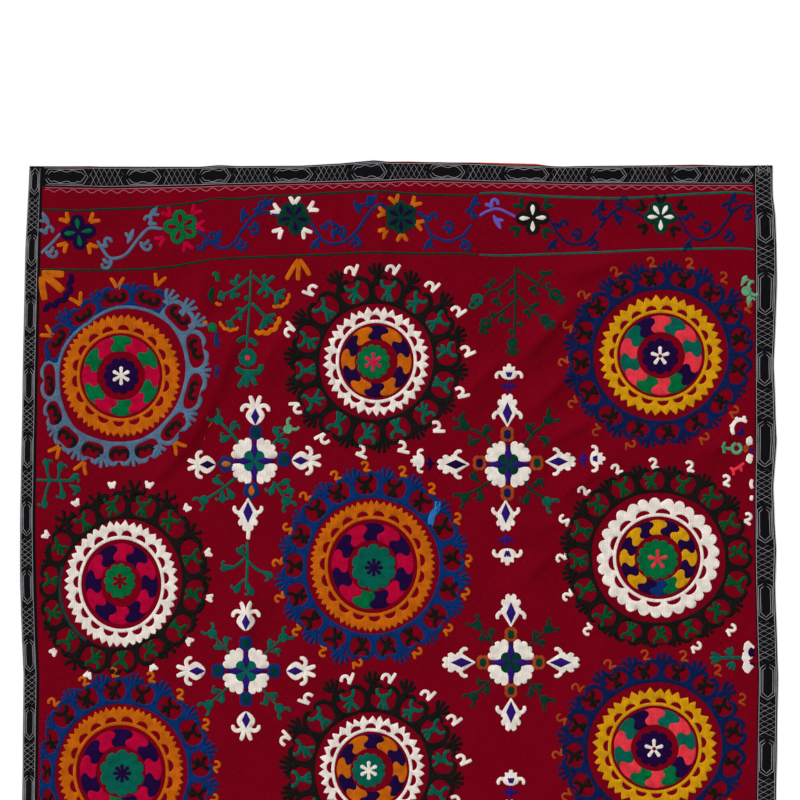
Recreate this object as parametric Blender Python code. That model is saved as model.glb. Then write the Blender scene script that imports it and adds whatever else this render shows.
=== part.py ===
"""Suzani: an embroidered cotton hanging laid out face up on a flat surface.

Three crimson panels are joined edge to edge, black edging strips run round them, and one red printed lining lies
under the whole. Every piece is a thin closed sheet. All sheets share one grid and one height, so that the soft folds
run through the panels, the strips and the lining together.

Metres, +Z up. The face looks up and the top edge of the embroidery points along +Y. The origin is under the middle
of the cloth, on the surface that it lies on.
"""

import math
from typing import NamedTuple

import bmesh
import bpy
import numpy as np

# Sheets, from the surface up
LINING_THICKNESS = 0.0010
CLOTH_THICKNESS = 0.0016
LAYER_GAP = 0.0004
SEAM_GAP = 0.0003
CLOTH_LIFT = LINING_THICKNESS + LAYER_GAP
LINING_INSET = 0.0025

# Nominal lines of the cloth, which the edge tables below bend to their real places
HALF_WIDTH = 0.752
LEFT_STRIP_LINE = -0.721
LEFT_JOIN_LINE = -0.370
RIGHT_JOIN_LINE = 0.158
RIGHT_STRIP_LINE = 0.712
TOP_LINE = 1.010
TOP_STRIP_LINE = 0.972
BOTTOM_STRIP_LINE = -0.976
BOTTOM_LINE = -1.016

# Grid of the sheets
PITCH_ACROSS = 0.034
PITCH_ALONG = 0.034

# Colours, as linear red, green and blue
CRIMSON = (0.160, 0.002, 0.006)
EDGING_BLACK = (0.010, 0.010, 0.013)
PRINT_RED = (0.420, 0.035, 0.015)
FABRIC_ROUGHNESS = 0.9


class AcrossStation(NamedTuple):
    """Where the lines that run along the cloth lie, at one distance along it."""

    y: float
    left_edge: float
    left_strip: float
    left_join: float
    right_join: float
    right_strip: float
    right_edge: float


class TopStation(NamedTuple):
    """Where the top edge and the top strip's seam lie, and how far the lining stands above that edge."""

    x: float
    edge: float
    strip: float
    lining_above: float


class BottomStation(NamedTuple):
    """Where the bottom edge and the bottom strip's seam lie."""

    x: float
    edge: float
    strip: float


class Fold(NamedTuple):
    """One soft fold: the two ends of its ridge, its height, and its width to each side."""

    x0: float
    y0: float
    x1: float
    y1: float
    height: float
    half_width: float


ACROSS = (
    AcrossStation(1.010, -0.7390, -0.7120, -0.370, 0.161, 0.7100, 0.7470),
    AcrossStation(0.950, -0.7420, -0.7135, -0.370, 0.161, 0.7105, 0.7474),
    AcrossStation(0.912, -0.7440, -0.7145, -0.370, 0.160, 0.7110, 0.7520),
    AcrossStation(0.850, -0.7472, -0.7166, -0.371, 0.159, 0.7120, 0.7550),
    AcrossStation(0.774, -0.7490, -0.7185, -0.371, 0.157, 0.7120, 0.7556),
    AcrossStation(0.686, -0.7508, -0.7204, -0.370, 0.156, 0.7120, 0.7525),
    AcrossStation(0.612, -0.7525, -0.7222, -0.370, 0.154, 0.7120, 0.7494),
    AcrossStation(0.500, -0.7540, -0.7240, -0.370, 0.153, 0.7120, 0.7535),
    AcrossStation(0.460, -0.7550, -0.7248, -0.370, 0.153, 0.7118, 0.7554),
    AcrossStation(0.368, -0.7568, -0.7262, -0.371, 0.153, 0.7115, 0.7484),
    AcrossStation(0.300, -0.7580, -0.7272, -0.372, 0.155, 0.7112, 0.7508),
    AcrossStation(0.244, -0.7580, -0.7266, -0.372, 0.156, 0.7112, 0.7546),
    AcrossStation(0.174, -0.7580, -0.7254, -0.371, 0.158, 0.7125, 0.7520),
    AcrossStation(0.058, -0.7540, -0.7222, -0.370, 0.161, 0.7155, 0.7560),
    AcrossStation(-0.010, -0.7510, -0.7192, -0.370, 0.162, 0.7180, 0.7580),
    AcrossStation(-0.200, -0.7530, -0.7220, -0.369, 0.161, 0.7150, 0.7550),
    AcrossStation(-0.450, -0.7560, -0.7250, -0.370, 0.158, 0.7120, 0.7510),
    AcrossStation(-0.700, -0.7525, -0.7215, -0.371, 0.157, 0.7140, 0.7545),
    AcrossStation(-0.900, -0.7550, -0.7240, -0.370, 0.159, 0.7110, 0.7500),
    AcrossStation(-1.016, -0.7510, -0.7210, -0.370, 0.160, 0.7100, 0.7480),
)

TOP = (
    TopStation(-0.752, 1.0084, 0.9684, -0.0015),
    TopStation(-0.620, 1.0076, 0.9650, 0.0010),
    TopStation(-0.584, 1.0074, 0.9640, -0.0015),
    TopStation(-0.398, 1.0070, 0.9680, -0.0015),
    TopStation(-0.360, 1.0104, 0.9696, -0.0015),
    TopStation(-0.322, 1.0084, 0.9704, -0.0015),
    TopStation(-0.198, 1.0092, 0.9732, -0.0015),
    TopStation(-0.118, 1.0136, 0.9750, -0.0015),
    TopStation(-0.050, 1.0200, 0.9766, -0.0020),
    TopStation(-0.018, 1.0168, 0.9774, 0.0005),
    TopStation(0.010, 1.0166, 0.9796, 0.0015),
    TopStation(0.082, 1.0162, 0.9784, -0.0005),
    TopStation(0.154, 1.0144, 0.9764, 0.0015),
    TopStation(0.198, 1.0118, 0.9756, 0.0030),
    TopStation(0.274, 1.0104, 0.9744, 0.0025),
    TopStation(0.322, 1.0074, 0.9734, -0.0015),
    TopStation(0.360, 1.0084, 0.9724, -0.0015),
    TopStation(0.602, 1.0108, 0.9714, 0.0010),
    TopStation(0.678, 1.0092, 0.9713, -0.0015),
    TopStation(0.752, 1.0100, 0.9712, -0.0015),
)

BOTTOM = (
    BottomStation(-0.752, -1.0130, -0.9740),
    BottomStation(-0.450, -1.0160, -0.9765),
    BottomStation(-0.150, -1.0200, -0.9790),
    BottomStation(0.200, -1.0170, -0.9770),
    BottomStation(0.500, -1.0140, -0.9745),
    BottomStation(0.752, -1.0160, -0.9760),
)

FOLDS = (
    Fold(-0.500, 0.366, -0.315, 0.700, 0.0075, 0.060),
    Fold(-0.290, 0.575, -0.205, 0.690, 0.0040, 0.045),
    Fold(0.120, 0.520, 0.225, 0.640, 0.0045, 0.050),
    Fold(0.235, 0.610, 0.370, 0.750, 0.0075, 0.055),
    Fold(0.330, 0.790, 0.475, 0.830, 0.0045, 0.045),
    Fold(0.255, 0.510, 0.370, 0.620, 0.0050, 0.050),
    Fold(0.285, 0.440, 0.400, 0.510, 0.0050, 0.050),
    Fold(0.310, 0.340, 0.430, 0.420, 0.0055, 0.050),
    Fold(0.230, 0.270, 0.370, 0.300, 0.0035, 0.045),
    Fold(0.230, 0.170, 0.330, 0.250, 0.0040, 0.050),
    Fold(0.600, 0.415, 0.700, 0.505, 0.0055, 0.050),
    Fold(-0.036, 0.800, -0.030, 0.960, 0.0040, 0.045),
    Fold(-0.400, 0.700, -0.385, 0.830, 0.0035, 0.045),
    Fold(-0.330, 0.020, -0.280, 0.170, 0.0040, 0.050),
    Fold(-0.560, -0.560, -0.330, -0.330, 0.0050, 0.060),
    Fold(0.160, -0.700, 0.390, -0.480, 0.0055, 0.060),
)


def line_at(stations: tuple, key: str, along: str, places: np.ndarray) -> np.ndarray:
    """One column of a station table, read between its rows."""
    rows = sorted(stations, key=lambda row: getattr(row, along))
    known = [getattr(row, along) for row in rows]
    return np.interp(places, known, [getattr(row, key) for row in rows])


def steps(start: float, end: float, pitch: float) -> list[float]:
    """Evenly spaced grid lines from start to end, both included."""
    count = max(1, round(abs(end - start) / pitch))
    return list(np.linspace(start, end, count + 1))


def place_across(line: float, y: float) -> float:
    """The real x of a nominal line that runs along the cloth, at height y."""
    nominal = (-HALF_WIDTH, LEFT_STRIP_LINE, LEFT_JOIN_LINE, RIGHT_JOIN_LINE, RIGHT_STRIP_LINE, HALF_WIDTH)
    keys = ("left_edge", "left_strip", "left_join", "right_join", "right_strip", "right_edge")
    real = [float(line_at(ACROSS, key, "y", y)) for key in keys]
    return float(np.interp(line, nominal, real))


def place_along(line: float, x: float) -> float:
    """The real y of a nominal line that runs across the cloth, at width x."""
    nominal = (BOTTOM_LINE, BOTTOM_STRIP_LINE, TOP_STRIP_LINE, TOP_LINE)
    real = (
        float(line_at(BOTTOM, "edge", "x", x)),
        float(line_at(BOTTOM, "strip", "x", x)),
        float(line_at(TOP, "strip", "x", x)),
        float(line_at(TOP, "edge", "x", x)),
    )
    return float(np.interp(line, nominal, real))


def fold_height(x: float, y: float) -> float:
    """How far the soft folds lift the cloth at one place."""
    height = 0.0
    for fold in FOLDS:
        run = (fold.x1 - fold.x0, fold.y1 - fold.y0)
        length = math.hypot(*run)
        offset = (x - (fold.x0 + fold.x1) / 2, y - (fold.y0 + fold.y1) / 2)
        along = (offset[0] * run[0] + offset[1] * run[1]) / length / (length / 2 + fold.half_width / 2)
        aside = (offset[0] * run[1] - offset[1] * run[0]) / length / fold.half_width
        reach = min(1.0, math.sqrt(along**4 + aside**2))
        height += fold.height * math.cos(math.pi / 2 * reach) ** 2
    return height


def fabric(name: str, colour: tuple[float, float, float]) -> bpy.types.Material:
    """A plain rough cloth material."""
    material = bpy.data.materials.new(name)
    material.use_nodes = True
    shader = material.node_tree.nodes["Principled BSDF"]
    shader.inputs["Base Color"].default_value = (*colour, 1.0)
    shader.inputs["Roughness"].default_value = FABRIC_ROUGHNESS
    shader.inputs["Metallic"].default_value = 0.0
    return material


def sheet(
    name: str,
    across: list[float],
    along: list[float],
    lift: float,
    thickness: float,
    material: bpy.types.Material,
    trims: dict[str, float],
    shows_at_top: bool = False,
) -> bpy.types.Object:
    """A thin closed sheet over the patch between its outer grid lines.

    Args:
        across: nominal lines that run along the cloth, left to right.
        along: nominal lines that run across the cloth, bottom to top.
        lift: height of the sheet's underside where the cloth lies flat.
        thickness: height of the sheet itself.
        trims: how far each of the sides left, right, bottom and top is cut back.
        shows_at_top: the top side follows the lining's own edge, which shows past the top strip in places.
    """
    mesh = bmesh.new()
    bmesh.ops.create_grid(mesh, x_segments=len(across) - 1, y_segments=len(along) - 1, size=0.5)
    for vertex in mesh.verts:
        column = round((vertex.co.x + 0.5) * (len(across) - 1))
        row = round((vertex.co.y + 0.5) * (len(along) - 1))
        x = place_across(across[column], along[row])
        y = place_along(along[row], x)
        z = lift + fold_height(x, y)
        if column == 0:
            x += trims.get("left", 0.0)
        if column == len(across) - 1:
            x -= trims.get("right", 0.0)
        if row == 0:
            y += trims.get("bottom", 0.0)
        if row == len(along) - 1:
            y -= trims.get("top", 0.0)
            if shows_at_top:
                y += float(line_at(TOP, "lining_above", "x", x))
        vertex.co = (x, y, z)
    bmesh.ops.triangulate(mesh, faces=mesh.faces[:], quad_method="FIXED")
    raised = bmesh.ops.extrude_face_region(mesh, geom=mesh.faces[:], use_keep_orig=True)
    tops = [item for item in raised["geom"] if isinstance(item, bmesh.types.BMVert)]
    bmesh.ops.translate(mesh, vec=(0.0, 0.0, thickness), verts=tops)
    bmesh.ops.recalc_face_normals(mesh, faces=mesh.faces[:])
    data = bpy.data.meshes.new(name)
    mesh.to_mesh(data)
    mesh.free()
    data.materials.append(material)
    piece = bpy.data.objects.new(name, data)
    bpy.context.scene.collection.objects.link(piece)
    return piece


def main() -> None:
    """Clears the scene and lays out the lining, the panels and the strips."""
    for item in list(bpy.data.objects):
        bpy.data.objects.remove(item, do_unlink=True)

    crimson = fabric("crimson_cotton", CRIMSON)
    edging = fabric("black_edging", EDGING_BLACK)
    print_red = fabric("red_print_lining", PRINT_RED)

    left_columns = steps(LEFT_STRIP_LINE, LEFT_JOIN_LINE, PITCH_ACROSS)
    centre_columns = steps(LEFT_JOIN_LINE, RIGHT_JOIN_LINE, PITCH_ACROSS)
    right_columns = steps(RIGHT_JOIN_LINE, RIGHT_STRIP_LINE, PITCH_ACROSS)
    inner_columns = left_columns + centre_columns[1:] + right_columns[1:]
    panel_rows = steps(BOTTOM_STRIP_LINE, TOP_STRIP_LINE, PITCH_ALONG)
    all_rows = [BOTTOM_LINE, *panel_rows, TOP_LINE]
    all_columns = [-HALF_WIDTH, *inner_columns, HALF_WIDTH]
    half_gap = SEAM_GAP / 2
    joined = {"left": half_gap, "right": half_gap, "bottom": half_gap, "top": half_gap}

    sheet(
        "lining",
        all_columns,
        all_rows,
        0.0,
        LINING_THICKNESS,
        print_red,
        {"left": LINING_INSET, "right": LINING_INSET, "bottom": LINING_INSET},
        shows_at_top=True,
    )
    panels = {"panel_left": left_columns, "panel_centre": centre_columns, "panel_right": right_columns}
    for name, columns in panels.items():
        sheet(name, columns, panel_rows, CLOTH_LIFT, CLOTH_THICKNESS, crimson, joined)
    side_strips = {
        "strip_left": ([-HALF_WIDTH, LEFT_STRIP_LINE], {"right": half_gap}),
        "strip_right": ([RIGHT_STRIP_LINE, HALF_WIDTH], {"left": half_gap}),
    }
    for name, (columns, trims) in side_strips.items():
        sheet(name, columns, all_rows, CLOTH_LIFT, CLOTH_THICKNESS, edging, trims)
    end_strips = {
        "strip_top": ([TOP_STRIP_LINE, TOP_LINE], {"left": half_gap, "right": half_gap, "bottom": half_gap}),
        "strip_bottom": ([BOTTOM_LINE, BOTTOM_STRIP_LINE], {"left": half_gap, "right": half_gap, "top": half_gap}),
    }
    for name, (rows, trims) in end_strips.items():
        sheet(name, inner_columns, rows, CLOTH_LIFT, CLOTH_THICKNESS, edging, trims)


main()
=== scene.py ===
"""Looks of the suzani: the cloth with its soft folds and creases, and all the embroidery on it.

The design is laid out on a chart ruled in 2 mm squares, with columns counted from the left and rows from the top.
Everything sewn is built flat from outlines and paths on that chart and then draped on the cloth's own height.
"""

import logging
import math
from dataclasses import dataclass, field, replace
from enum import Enum
from functools import partial
from typing import Callable, NamedTuple, Sequence

import bmesh
import bpy
import numpy as np
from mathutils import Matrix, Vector


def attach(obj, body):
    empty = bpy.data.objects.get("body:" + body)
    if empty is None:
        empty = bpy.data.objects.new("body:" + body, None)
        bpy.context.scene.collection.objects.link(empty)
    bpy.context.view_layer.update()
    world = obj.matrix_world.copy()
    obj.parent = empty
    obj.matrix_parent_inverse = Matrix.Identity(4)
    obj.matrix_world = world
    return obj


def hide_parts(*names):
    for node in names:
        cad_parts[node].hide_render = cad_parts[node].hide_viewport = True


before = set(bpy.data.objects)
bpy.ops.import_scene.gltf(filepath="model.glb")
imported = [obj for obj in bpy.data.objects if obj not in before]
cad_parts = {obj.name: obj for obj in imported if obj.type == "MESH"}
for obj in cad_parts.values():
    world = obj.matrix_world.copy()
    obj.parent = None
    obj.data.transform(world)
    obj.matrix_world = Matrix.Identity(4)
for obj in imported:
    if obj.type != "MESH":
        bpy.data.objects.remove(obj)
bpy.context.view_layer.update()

LOG = logging.getLogger("suzani")

# Sheets, from the surface up. The cloth's top stands where the solids' top stands.
LINING_THICKNESS = 0.0010
CLOTH_TOP = 0.0030
CLOTH_THICKNESS = 0.0006
SEAM_GAP = 0.0001
RIM_WIDTH = 0.0004
LINING_INSET = 0.0025
SLACK_HEIGHT = 0.00025
HEM_ROLL = 0.0011
HEM_WIDTH = 0.006
SEAM_DEPTH = 0.00040
SEAM_WIDTH = 0.006
CLOTH_PITCH = 0.0094
LINING_PITCH = 0.032

# Nominal lines of the cloth, which the edge tables bend to their real places
HALF_WIDTH = 0.752
LEFT_STRIP_LINE = -0.721
LEFT_JOIN_LINE = -0.370
RIGHT_JOIN_LINE = 0.158
RIGHT_STRIP_LINE = 0.712
TOP_LINE = 1.010
TOP_STRIP_LINE = 0.972
BOTTOM_STRIP_LINE = -0.976
BOTTOM_LINE = -1.016

# Chart of the design
SQUARE = 0.002
CHART_MIDDLE_COLUMN = 399.0
CHART_ZERO_ROW = 670.2

# Chain stitch: width of a row and length of a link
ROW_PITCH = 0.0036
STITCH_LENGTH = 0.0034

# Stitches above the cloth: a patch's height, how far its rows stand out and its rim drops, and each further layer.
# Patches wholly below PLAIN_BELOW, in the part that the photo cuts off, are cut into fewer rows.
PAD_HEIGHT = 0.00075
ROW_RELIEF = 0.00026
EDGE_DROP = 0.00030
LEVEL_STEP = 0.00040
SKIRT_DEPTH = 0.0004
SKIRT_FLARE = 0.0005
PLAIN_BELOW = -0.040

# Steps along stitches, and the room that the motifs outside the lobes need beside the edging strips
CROSS_CUT = 0.015
PATH_STEP = 0.004
SHORT_STEP = 0.0015
HOOK_REACH = 0.012

# Machine stitching of the edging, in squares: length of a wave and distance between the lattice's lines
MACHINE_WAVE = 12.7
MACHINE_LATTICE = 5.4

# Petals of the crosses: steps along a rim, its scallops, its radius in squares and half its angle
PETAL_STEPS = 24
PETAL_SCALLOPS = 4
PETAL_RADIUS = 20.6
PETAL_HALF_ANGLE = 37


class AcrossStation(NamedTuple):
    """Where the lines that run along the cloth lie, at one distance along it."""

    y: float
    left_edge: float
    left_strip: float
    left_join: float
    right_join: float
    right_strip: float
    right_edge: float


class TopStation(NamedTuple):
    """Where the top edge and the top strip's seam lie, and how far the lining stands above that edge."""

    x: float
    edge: float
    strip: float
    lining_above: float


class BottomStation(NamedTuple):
    """Where the bottom edge and the bottom strip's seam lie."""

    x: float
    edge: float
    strip: float


class Fold(NamedTuple):
    """One soft fold: the two ends of its ridge, its height, and its width to each side."""

    x0: float
    y0: float
    x1: float
    y1: float
    height: float
    half_width: float


ACROSS = tuple(
    AcrossStation(*row)
    for row in (
        (1.010, -0.7390, -0.7120, -0.370, 0.161, 0.7100, 0.7470),
        (0.950, -0.7420, -0.7135, -0.370, 0.161, 0.7105, 0.7474),
        (0.912, -0.7440, -0.7145, -0.370, 0.160, 0.7110, 0.7520),
        (0.850, -0.7472, -0.7166, -0.371, 0.159, 0.7120, 0.7550),
        (0.774, -0.7490, -0.7185, -0.371, 0.157, 0.7120, 0.7556),
        (0.686, -0.7508, -0.7204, -0.370, 0.156, 0.7120, 0.7525),
        (0.612, -0.7525, -0.7222, -0.370, 0.154, 0.7120, 0.7494),
        (0.500, -0.7540, -0.7240, -0.370, 0.153, 0.7120, 0.7535),
        (0.460, -0.7550, -0.7248, -0.370, 0.153, 0.7118, 0.7554),
        (0.368, -0.7568, -0.7262, -0.371, 0.153, 0.7115, 0.7484),
        (0.300, -0.7580, -0.7272, -0.372, 0.155, 0.7112, 0.7508),
        (0.244, -0.7580, -0.7266, -0.372, 0.156, 0.7112, 0.7546),
        (0.174, -0.7580, -0.7254, -0.371, 0.158, 0.7125, 0.7520),
        (0.058, -0.7540, -0.7222, -0.370, 0.161, 0.7155, 0.7560),
        (-0.010, -0.7510, -0.7192, -0.370, 0.162, 0.7180, 0.7580),
        (-0.200, -0.7530, -0.7220, -0.369, 0.161, 0.7150, 0.7550),
        (-0.450, -0.7560, -0.7250, -0.370, 0.158, 0.7120, 0.7510),
        (-0.700, -0.7525, -0.7215, -0.371, 0.157, 0.7140, 0.7545),
        (-0.900, -0.7550, -0.7240, -0.370, 0.159, 0.7110, 0.7500),
        (-1.016, -0.7510, -0.7210, -0.370, 0.160, 0.7100, 0.7480),
    )
)

TOP = tuple(
    TopStation(*row)
    for row in (
        (-0.752, 1.0084, 0.9684, -0.0015), (-0.620, 1.0076, 0.9650, 0.0010), (-0.584, 1.0074, 0.9640, -0.0015),
        (-0.398, 1.0070, 0.9680, -0.0015), (-0.360, 1.0104, 0.9696, -0.0015), (-0.322, 1.0084, 0.9704, -0.0015),
        (-0.198, 1.0092, 0.9732, -0.0015), (-0.118, 1.0136, 0.9750, -0.0015), (-0.050, 1.0200, 0.9766, -0.0020),
        (-0.018, 1.0168, 0.9774, 0.0005), (0.010, 1.0166, 0.9796, 0.0015), (0.082, 1.0162, 0.9784, -0.0005),
        (0.154, 1.0144, 0.9764, 0.0015), (0.198, 1.0118, 0.9756, 0.0030), (0.274, 1.0104, 0.9744, 0.0025),
        (0.322, 1.0074, 0.9734, -0.0015), (0.360, 1.0084, 0.9724, -0.0015), (0.602, 1.0108, 0.9714, 0.0010),
        (0.678, 1.0092, 0.9713, -0.0015), (0.752, 1.0100, 0.9712, -0.0015),
    )
)

BOTTOM = tuple(
    BottomStation(*row)
    for row in (
        (-0.752, -1.0130, -0.9740), (-0.450, -1.0160, -0.9765), (-0.150, -1.0200, -0.9790), (0.200, -1.0170, -0.9770),
        (0.500, -1.0140, -0.9745), (0.752, -1.0160, -0.9760),
    )
)

FOLDS = tuple(
    Fold(*row)
    for row in (
        (-0.500, 0.366, -0.315, 0.700, 0.0075, 0.060), (-0.290, 0.575, -0.205, 0.690, 0.0040, 0.045),
        (0.120, 0.520, 0.225, 0.640, 0.0045, 0.050), (0.235, 0.610, 0.370, 0.750, 0.0075, 0.055),
        (0.330, 0.790, 0.475, 0.830, 0.0045, 0.045), (0.255, 0.510, 0.370, 0.620, 0.0050, 0.050),
        (0.285, 0.440, 0.400, 0.510, 0.0050, 0.050), (0.310, 0.340, 0.430, 0.420, 0.0055, 0.050),
        (0.230, 0.270, 0.370, 0.300, 0.0035, 0.045), (0.230, 0.170, 0.330, 0.250, 0.0040, 0.050),
        (0.600, 0.415, 0.700, 0.505, 0.0055, 0.050), (-0.036, 0.800, -0.030, 0.960, 0.0040, 0.045),
        (-0.400, 0.700, -0.385, 0.830, 0.0035, 0.045), (-0.330, 0.020, -0.280, 0.170, 0.0040, 0.050),
        (-0.560, -0.560, -0.330, -0.330, 0.0050, 0.060), (0.160, -0.700, 0.390, -0.480, 0.0055, 0.060),
    )
)


class Crease(NamedTuple):
    """One narrow crease on the chart: its two ends in squares, its height and its width to each side in metres."""

    column0: float
    row0: float
    column1: float
    row1: float
    height: float
    half_width: float


CREASES = tuple(
    Crease(*row)
    for row in (
        (150, 485, 192, 443, 0.0038, 0.012), (188, 447, 215, 400, 0.0045, 0.013), (213, 405, 240, 325, 0.0038, 0.013),
        (260, 365, 287, 332, 0.0032, 0.010), (465, 395, 500, 360, 0.0038, 0.012), (518, 362, 577, 303, 0.0056, 0.014),
        (570, 276, 626, 259, 0.0034, 0.012), (530, 410, 576, 369, 0.0045, 0.012), (545, 446, 591, 419, 0.0041, 0.012),
        (560, 496, 601, 469, 0.0041, 0.012), (530, 531, 576, 519, 0.0032, 0.010), (525, 581, 556, 549, 0.0032, 0.010),
        (709, 456, 741, 424, 0.0045, 0.012), (380, 180, 383, 266, 0.0032, 0.010), (200, 274, 203, 316, 0.0025, 0.010),
        (250, 560, 247, 651, 0.0032, 0.012), (332, 188, 335, 250, 0.0025, 0.009), (600, 187, 603, 245, 0.0025, 0.009),
        (110, 500, 145, 488, 0.0029, 0.010), (610, 640, 640, 600, 0.0032, 0.012), (120, 950, 232, 838, 0.0038, 0.013),
        (480, 1020, 590, 915, 0.0041, 0.013), (330, 700, 420, 760, 0.0025, 0.013),
    )
)


class Slot(Enum):
    """Material slots of the record."""

    GROUND = "ground"
    EDGING = "edging"
    LINING = "lining"
    WHITE = "thread_white"
    DARK = "thread_dark"
    BLUE = "thread_blue"
    GREEN = "thread_green"
    WARM = "thread_warm"
    VIOLET = "thread_violet"


class Thread(Enum):
    """Thread colours: sRGB hex and the record's slot."""

    WHITE = ("#e6dcd2", Slot.WHITE)
    PINK = ("#d8234f", Slot.WARM)
    GREY = ("#a8a3aa", Slot.WHITE)
    BLACK = ("#1b1717", Slot.DARK)
    SLATE = ("#1f3d3c", Slot.DARK)
    BLUE = ("#09316f", Slot.BLUE)
    NAVY = ("#101f50", Slot.BLUE)
    BLUE_GREY = ("#567591", Slot.BLUE)
    GREEN = ("#006e3b", Slot.GREEN)
    FOREST = ("#04502c", Slot.GREEN)
    TEAL = ("#046251", Slot.GREEN)
    DARK_GREEN = ("#073a2c", Slot.GREEN)
    LIGHT_GREEN = ("#63ab80", Slot.GREEN)
    ORANGE = ("#cd660c", Slot.WARM)
    MUSTARD = ("#dc9e0e", Slot.WARM)
    RUST = ("#a9431a", Slot.WARM)
    CORAL = ("#f03a48", Slot.WARM)
    MAGENTA = ("#bd0338", Slot.WARM)
    CRIMSON = ("#7a0216", Slot.GROUND)
    DARK_VIOLET = ("#1f073c", Slot.VIOLET)
    VIOLET = ("#301673", Slot.VIOLET)
    LAVENDER = ("#6c5cbe", Slot.VIOLET)
    BRIGHT_BLUE = ("#2f7cc4", Slot.BLUE)
    ROSE = ("#b9707c", Slot.WHITE)


T = Thread
Point = np.ndarray


def linear(code: str) -> tuple[float, float, float, float]:
    """Turns an sRGB hex colour into linear red, green, blue and alpha.

    Args:
        code: colour such as "#7c0417".

    Returns:
        The linear colour.
    """
    parts = [int(code[i : i + 2], 16) / 255 for i in (1, 3, 5)]
    return (*[p / 12.92 if p <= 0.04045 else ((p + 0.055) / 1.055) ** 2.4 for p in parts], 1.0)


def shade(code: str, factor: float) -> tuple[float, float, float, float]:
    """A darker or lighter version of a hex colour, as a linear colour.

    Args:
        code: sRGB hex colour.
        factor: what the linear parts are multiplied by.

    Returns:
        The linear colour.
    """
    red, green, blue, alpha = linear(code)
    return (min(1.0, red * factor), min(1.0, green * factor), min(1.0, blue * factor), alpha)


def add_node(tree: bpy.types.NodeTree, kind: str, settings: dict | None = None, **inputs) -> bpy.types.Node:
    """Adds one node, sets its options and fills or links its inputs.

    Args:
        tree: node tree that gets the node.
        kind: the node's type name.
        settings: options of the node, by attribute name.
        **inputs: value or output socket for an input, as in_NUMBER.

    Returns:
        The new node.
    """
    node = tree.nodes.new(kind)
    for key, value in (settings or {}).items():
        setattr(node, key, value)
    for key, value in inputs.items():
        socket = node.inputs[int(key.split("_")[1])]
        if isinstance(value, bpy.types.NodeSocket):
            tree.links.new(value, socket)
        else:
            socket.default_value = value
    return node


def math_node(tree: bpy.types.NodeTree, operation: str, *values) -> bpy.types.NodeSocket:
    """Adds a Math node.

    Args:
        tree: node tree that gets the node.
        operation: the Math operation.
        *values: numbers or sockets, in order.

    Returns:
        The node's output.
    """
    inputs = {f"in_{i}": value for i, value in enumerate(values)}
    return add_node(tree, "ShaderNodeMath", {"operation": operation}, **inputs).outputs[0]


def mix_colour(tree: bpy.types.NodeTree, factor, first, second) -> bpy.types.NodeSocket:
    """Mixes two colours.

    Args:
        tree: node tree that gets the node.
        factor: number or socket, 0 for the first colour.
        first: colour or socket.
        second: colour or socket.

    Returns:
        The mixed colour's output.
    """
    settings = {"data_type": "RGBA", "clamp_factor": True}
    node = add_node(tree, "ShaderNodeMix", settings, in_0=factor, in_6=first, in_7=second)
    return node.outputs[2]


@dataclass(frozen=True)
class Finish:
    """A cloth finish on the Principled shader.

    Attributes:
        name: the material's name.
        colour: sRGB hex of the middle tone.
        roughness: of the shader.
        dark: factor of the darkest tone.
        light: factor of the lightest tone.
        patch_size: size of the tone patches in metres.
    """

    name: str
    colour: str
    roughness: float
    dark: float
    light: float
    patch_size: float

    def start(self) -> tuple[bpy.types.Material, bpy.types.NodeTree, bpy.types.Node]:
        """Makes the material with its plain values.

        Returns:
            The material, its tree and its shader.
        """
        material = bpy.data.materials.new(self.name)
        material.use_nodes = True
        tree = material.node_tree
        shader = tree.nodes["Principled BSDF"]
        shader.inputs["Base Color"].default_value = linear(self.colour)
        shader.inputs["Roughness"].default_value = self.roughness
        shader.inputs["Specular IOR Level"].default_value = 0.03
        material.diffuse_color = linear(self.colour)
        return material, tree, shader

    def tones(self, tree: bpy.types.NodeTree, place: bpy.types.NodeSocket) -> bpy.types.NodeSocket:
        """Uneven dye: soft patches between the dark and the light tone.

        Args:
            tree: the material's tree.
            place: coordinates in metres.

        Returns:
            The colour's output.
        """
        noise = add_node(tree, "ShaderNodeTexNoise", None, in_0=place, in_2=1 / self.patch_size, in_3=3.0)
        spread = math_node(tree, "MULTIPLY_ADD", noise.outputs[0], 2.2, -0.6)
        return mix_colour(tree, spread, shade(self.colour, self.dark), shade(self.colour, self.light))


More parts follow.
